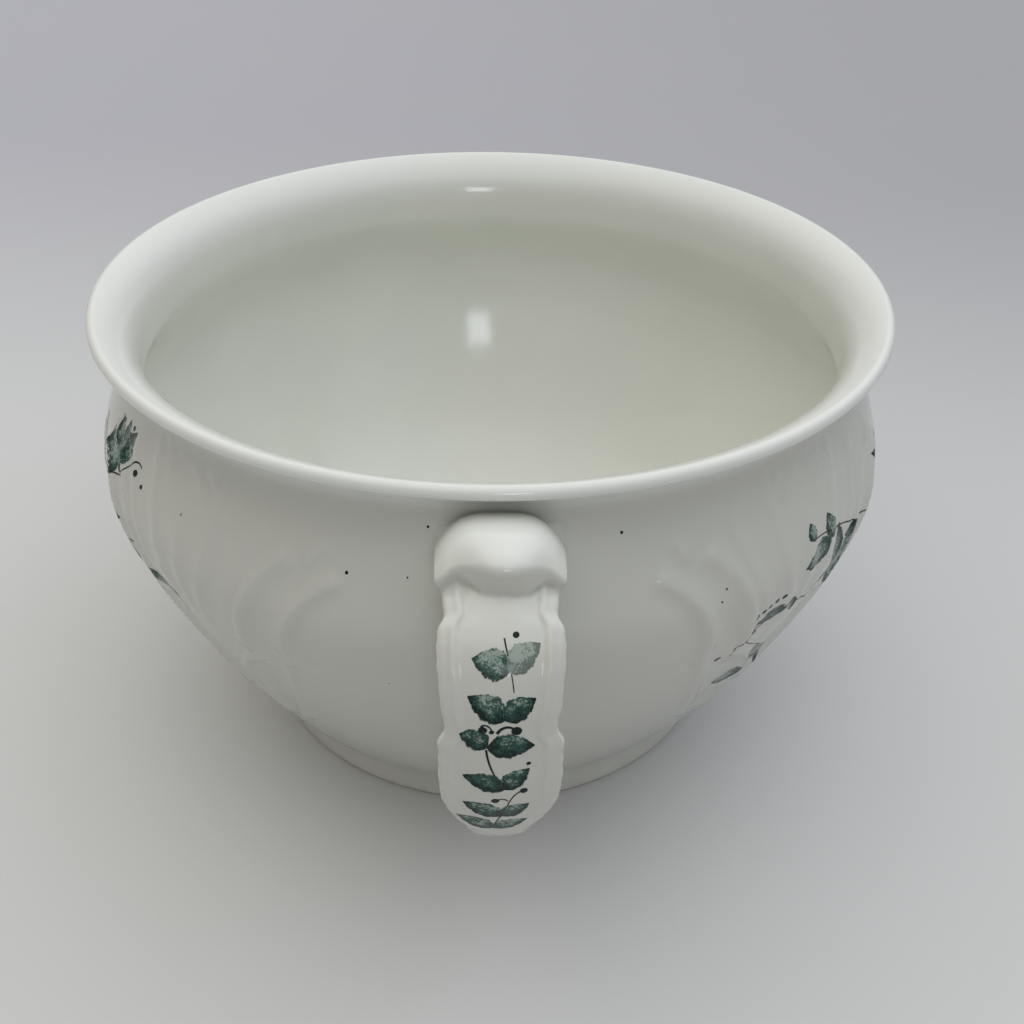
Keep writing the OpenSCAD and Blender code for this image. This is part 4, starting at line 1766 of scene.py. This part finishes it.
KILN_SPECKS = (
    (-18.6, 114.0, 0.9), (15.4, 124.0, 0.8), (-11.0, 115.0, 0.5), (29.2, 104.0, 0.6), (28.6, 100.5, 0.6),
    (-8.8, 127.0, 0.7),
)


@dataclass(frozen=True)
class Lamp:
    """Soft rectangular lamp that points at a target, in metres and watts."""

    name: str
    place: Dot
    target: Dot
    size: Place
    power: float
    colour: Colour

    def hang(self) -> bpy.types.Object:
        """Adds the lamp to the scene.

        Returns:
            The new lamp.
        """
        data = bpy.data.lights.new(self.name, "AREA")
        data.shape = "RECTANGLE"
        data.size, data.size_y = self.size
        data.energy = self.power
        data.color = self.colour
        lamp = bpy.data.objects.new(self.name, data)
        lamp.location = self.place
        aim = Vector(self.target) - Vector(self.place)
        lamp.rotation_euler = aim.to_track_quat("-Z", "Y").to_euler()
        bpy.context.scene.collection.objects.link(lamp)
        return lamp


@dataclass
class Studio:
    """Floor, soft lamps and the camera at the photograph's place."""

    floor_half: float = 4.0
    camera_place: Dot = (-6.318, -361.958, 300.214)
    yaw: float = -2.100
    pitch: float = 33.680
    roll: float = 0.979
    focal_px: float = 1300.0
    image_px: float = 1024.0
    sensor: float = 36.0
    sky_low: float = 0.06
    backdrop: float = 0.50
    sky_high: float = 1.34
    sky_edge: Place = (0.34, 0.80)
    sky_axis: Dot = (0.06, 0.17, 1.0)
    sky_warm: Colour = (1.0, 0.975, 0.890)
    sky_cool: Colour = (0.950, 1.0, 1.080)
    sky_turn: Place = (-0.7, 0.7)
    lamps: tuple[Lamp, ...] = (
        Lamp("window", (0.064, -0.844, 0.390), (0.0, 0.1, 0.078), (0.13, 0.17), 0.42, (0.88, 0.95, 1.0)),
        Lamp("softbox", (0.0, -0.32, 0.62), (0.0, -0.16, 0.10), (0.50, 0.40), 0.13, (1.0, 0.990, 0.970)),
    )

    def build_floor(self, material: bpy.types.Material) -> bpy.types.Object:
        """Makes the floor.

        Args:
            material: Its finish.

        Returns:
            The new stage piece.
        """
        half = self.floor_half
        mesh = bpy.data.meshes.new("studio_floor")
        corners = [(-half, -half, 0.0), (half, -half, 0.0), (half, half, 0.0), (-half, half, 0.0)]
        mesh.from_pydata(corners, [], [(0, 1, 2, 3)])
        mesh.materials.append(material)
        floor = bpy.data.objects.new("studio_floor", mesh)
        bpy.context.scene.collection.objects.link(floor)
        return floor

    def seen_level(self, sheet: NodeSheet) -> bpy.types.NodeSocket:
        """Makes the room's walls pale where they are seen, and dim where they only light the pot.

        Args:
            sheet: The world's nodes.

        Returns:
            The strength of the walls.
        """
        path = sheet.add("ShaderNodeLightPath").outputs
        mirrored = sheet.calc("MAXIMUM", path["Is Glossy Ray"], path["Is Transmission Ray"])
        seen = sheet.calc("MAXIMUM", path["Is Camera Ray"], mirrored)
        return sheet.step(seen, 0.0, 1.0, self.backdrop, self.sky_low, "LINEAR")

    def build_light(self) -> None:
        """Makes the lamps and the even light of the room, brightest overhead and cooler on the right."""
        for lamp in self.lamps:
            lamp.hang()
        world = bpy.data.worlds.new("even_light")
        world.use_nodes = True
        sheet = NodeSheet(world.node_tree)
        compass = sheet.add("ShaderNodeTexCoord").outputs["Generated"]
        height = sheet.vector("DOT_PRODUCT", compass, Vector(self.sky_axis).normalized()).outputs["Value"]
        strength = sheet.step(height, *self.sky_edge, self.sky_high, self.seen_level(sheet))
        turn = sheet.step(sheet.split(compass)[0], *self.sky_turn, kind="LINEAR")
        background = sheet.tree.nodes["Background"]
        sheet.feed(background.inputs["Strength"], strength)
        sheet.feed(background.inputs["Color"], sheet.blend(turn, self.sky_warm, self.sky_cool))
        bpy.context.scene.world = world

    def build_camera(self) -> bpy.types.Object:
        """Makes the camera.

        Returns:
            The camera, which the scene then uses.
        """
        data = bpy.data.cameras.new("camera")
        data.sensor_width = self.sensor
        data.lens = self.focal_px * self.sensor / self.image_px
        data.clip_start, data.clip_end = 0.01, 50.0
        camera = bpy.data.objects.new("camera", data)
        yaw, tilt, roll = (math.radians(a) for a in (self.yaw, 90.0 - self.pitch, self.roll))
        place = Matrix.Translation(Vector(self.camera_place) * MM)
        turn = Matrix.Rotation(yaw, 4, "Z") @ Matrix.Rotation(tilt, 4, "X")
        camera.matrix_world = place @ turn @ Matrix.Rotation(roll, 4, "Z")
        bpy.context.scene.collection.objects.link(camera)
        bpy.context.scene.camera = camera
        return camera


def print_sprays(bowl: Bowl, wall: bpy.types.Object, handle: Handle, grip: bpy.types.Object) -> None:
    """Lays the green print on the bowl and the handle.

    Args:
        bowl: The bowl's sizes.
        wall: The bowl's wall.
        handle: The handle's sizes.
        grip: The handle's piece.
    """
    ink = InkFinish().material()
    belly = BellyCarrier(wall, bowl)
    sprays = {
        "print_right": BellySpray(bowl, RIGHT_BRANCHES, RIGHT_BLADES, RIGHT_BUDS),
        "print_left": BellySpray(bowl, LEFT_BRANCHES, LEFT_BLADES, LEFT_BUDS),
    }
    for name, spray in sprays.items():
        sheet = InkSheet(name, belly)
        spray.print_on(sheet)
        sheet.build(ink)
    strap = InkSheet("print_handle", StrapCarrier(grip, handle))
    HandleSprig().print_on(strap)
    strap.build(ink)
    specks = InkSheet("kiln_specks", belly)
    for angle, z, size in KILN_SPECKS:
        x = math.radians(angle) * bowl.belly_r
        specks.blade((x - size / 2, z), (x + size / 2, z), size, Motif.BUD, 1.0)
    specks.build(ink)


def main() -> None:
    """Builds the pot and its studio in order."""
    logging.basicConfig(level=logging.INFO, format="%(message)s")
    bpy.context.scene.view_settings.view_transform = "Standard"
    studio = Studio()
    studio.build_camera()
    studio.build_light()
    studio.build_floor(FloorFinish().material())
    glaze = GlazeFinish().material()
    bowl = Bowl.from_frame()
    wall = bowl.build_wall(glaze)
    bowl.build_floor(glaze)
    FootRing(bowl).build(FootFinish().material())
    handle = Handle.from_frame(bowl)
    grip = handle.build(glaze)
    slip = SlipFinish().material()
    SlipJoint(bowl, "upper_lute", *handle.upper_slip).build(slip)
    end_half = handle.width / 2 - handle.end_taper - handle.slip_inset
    SlipJoint(bowl, "lower_lute", *handle.lower_slip, half=end_half).build(slip)
    print_sprays(bowl, wall, handle, grip)


if __name__ == "__main__":
    main()
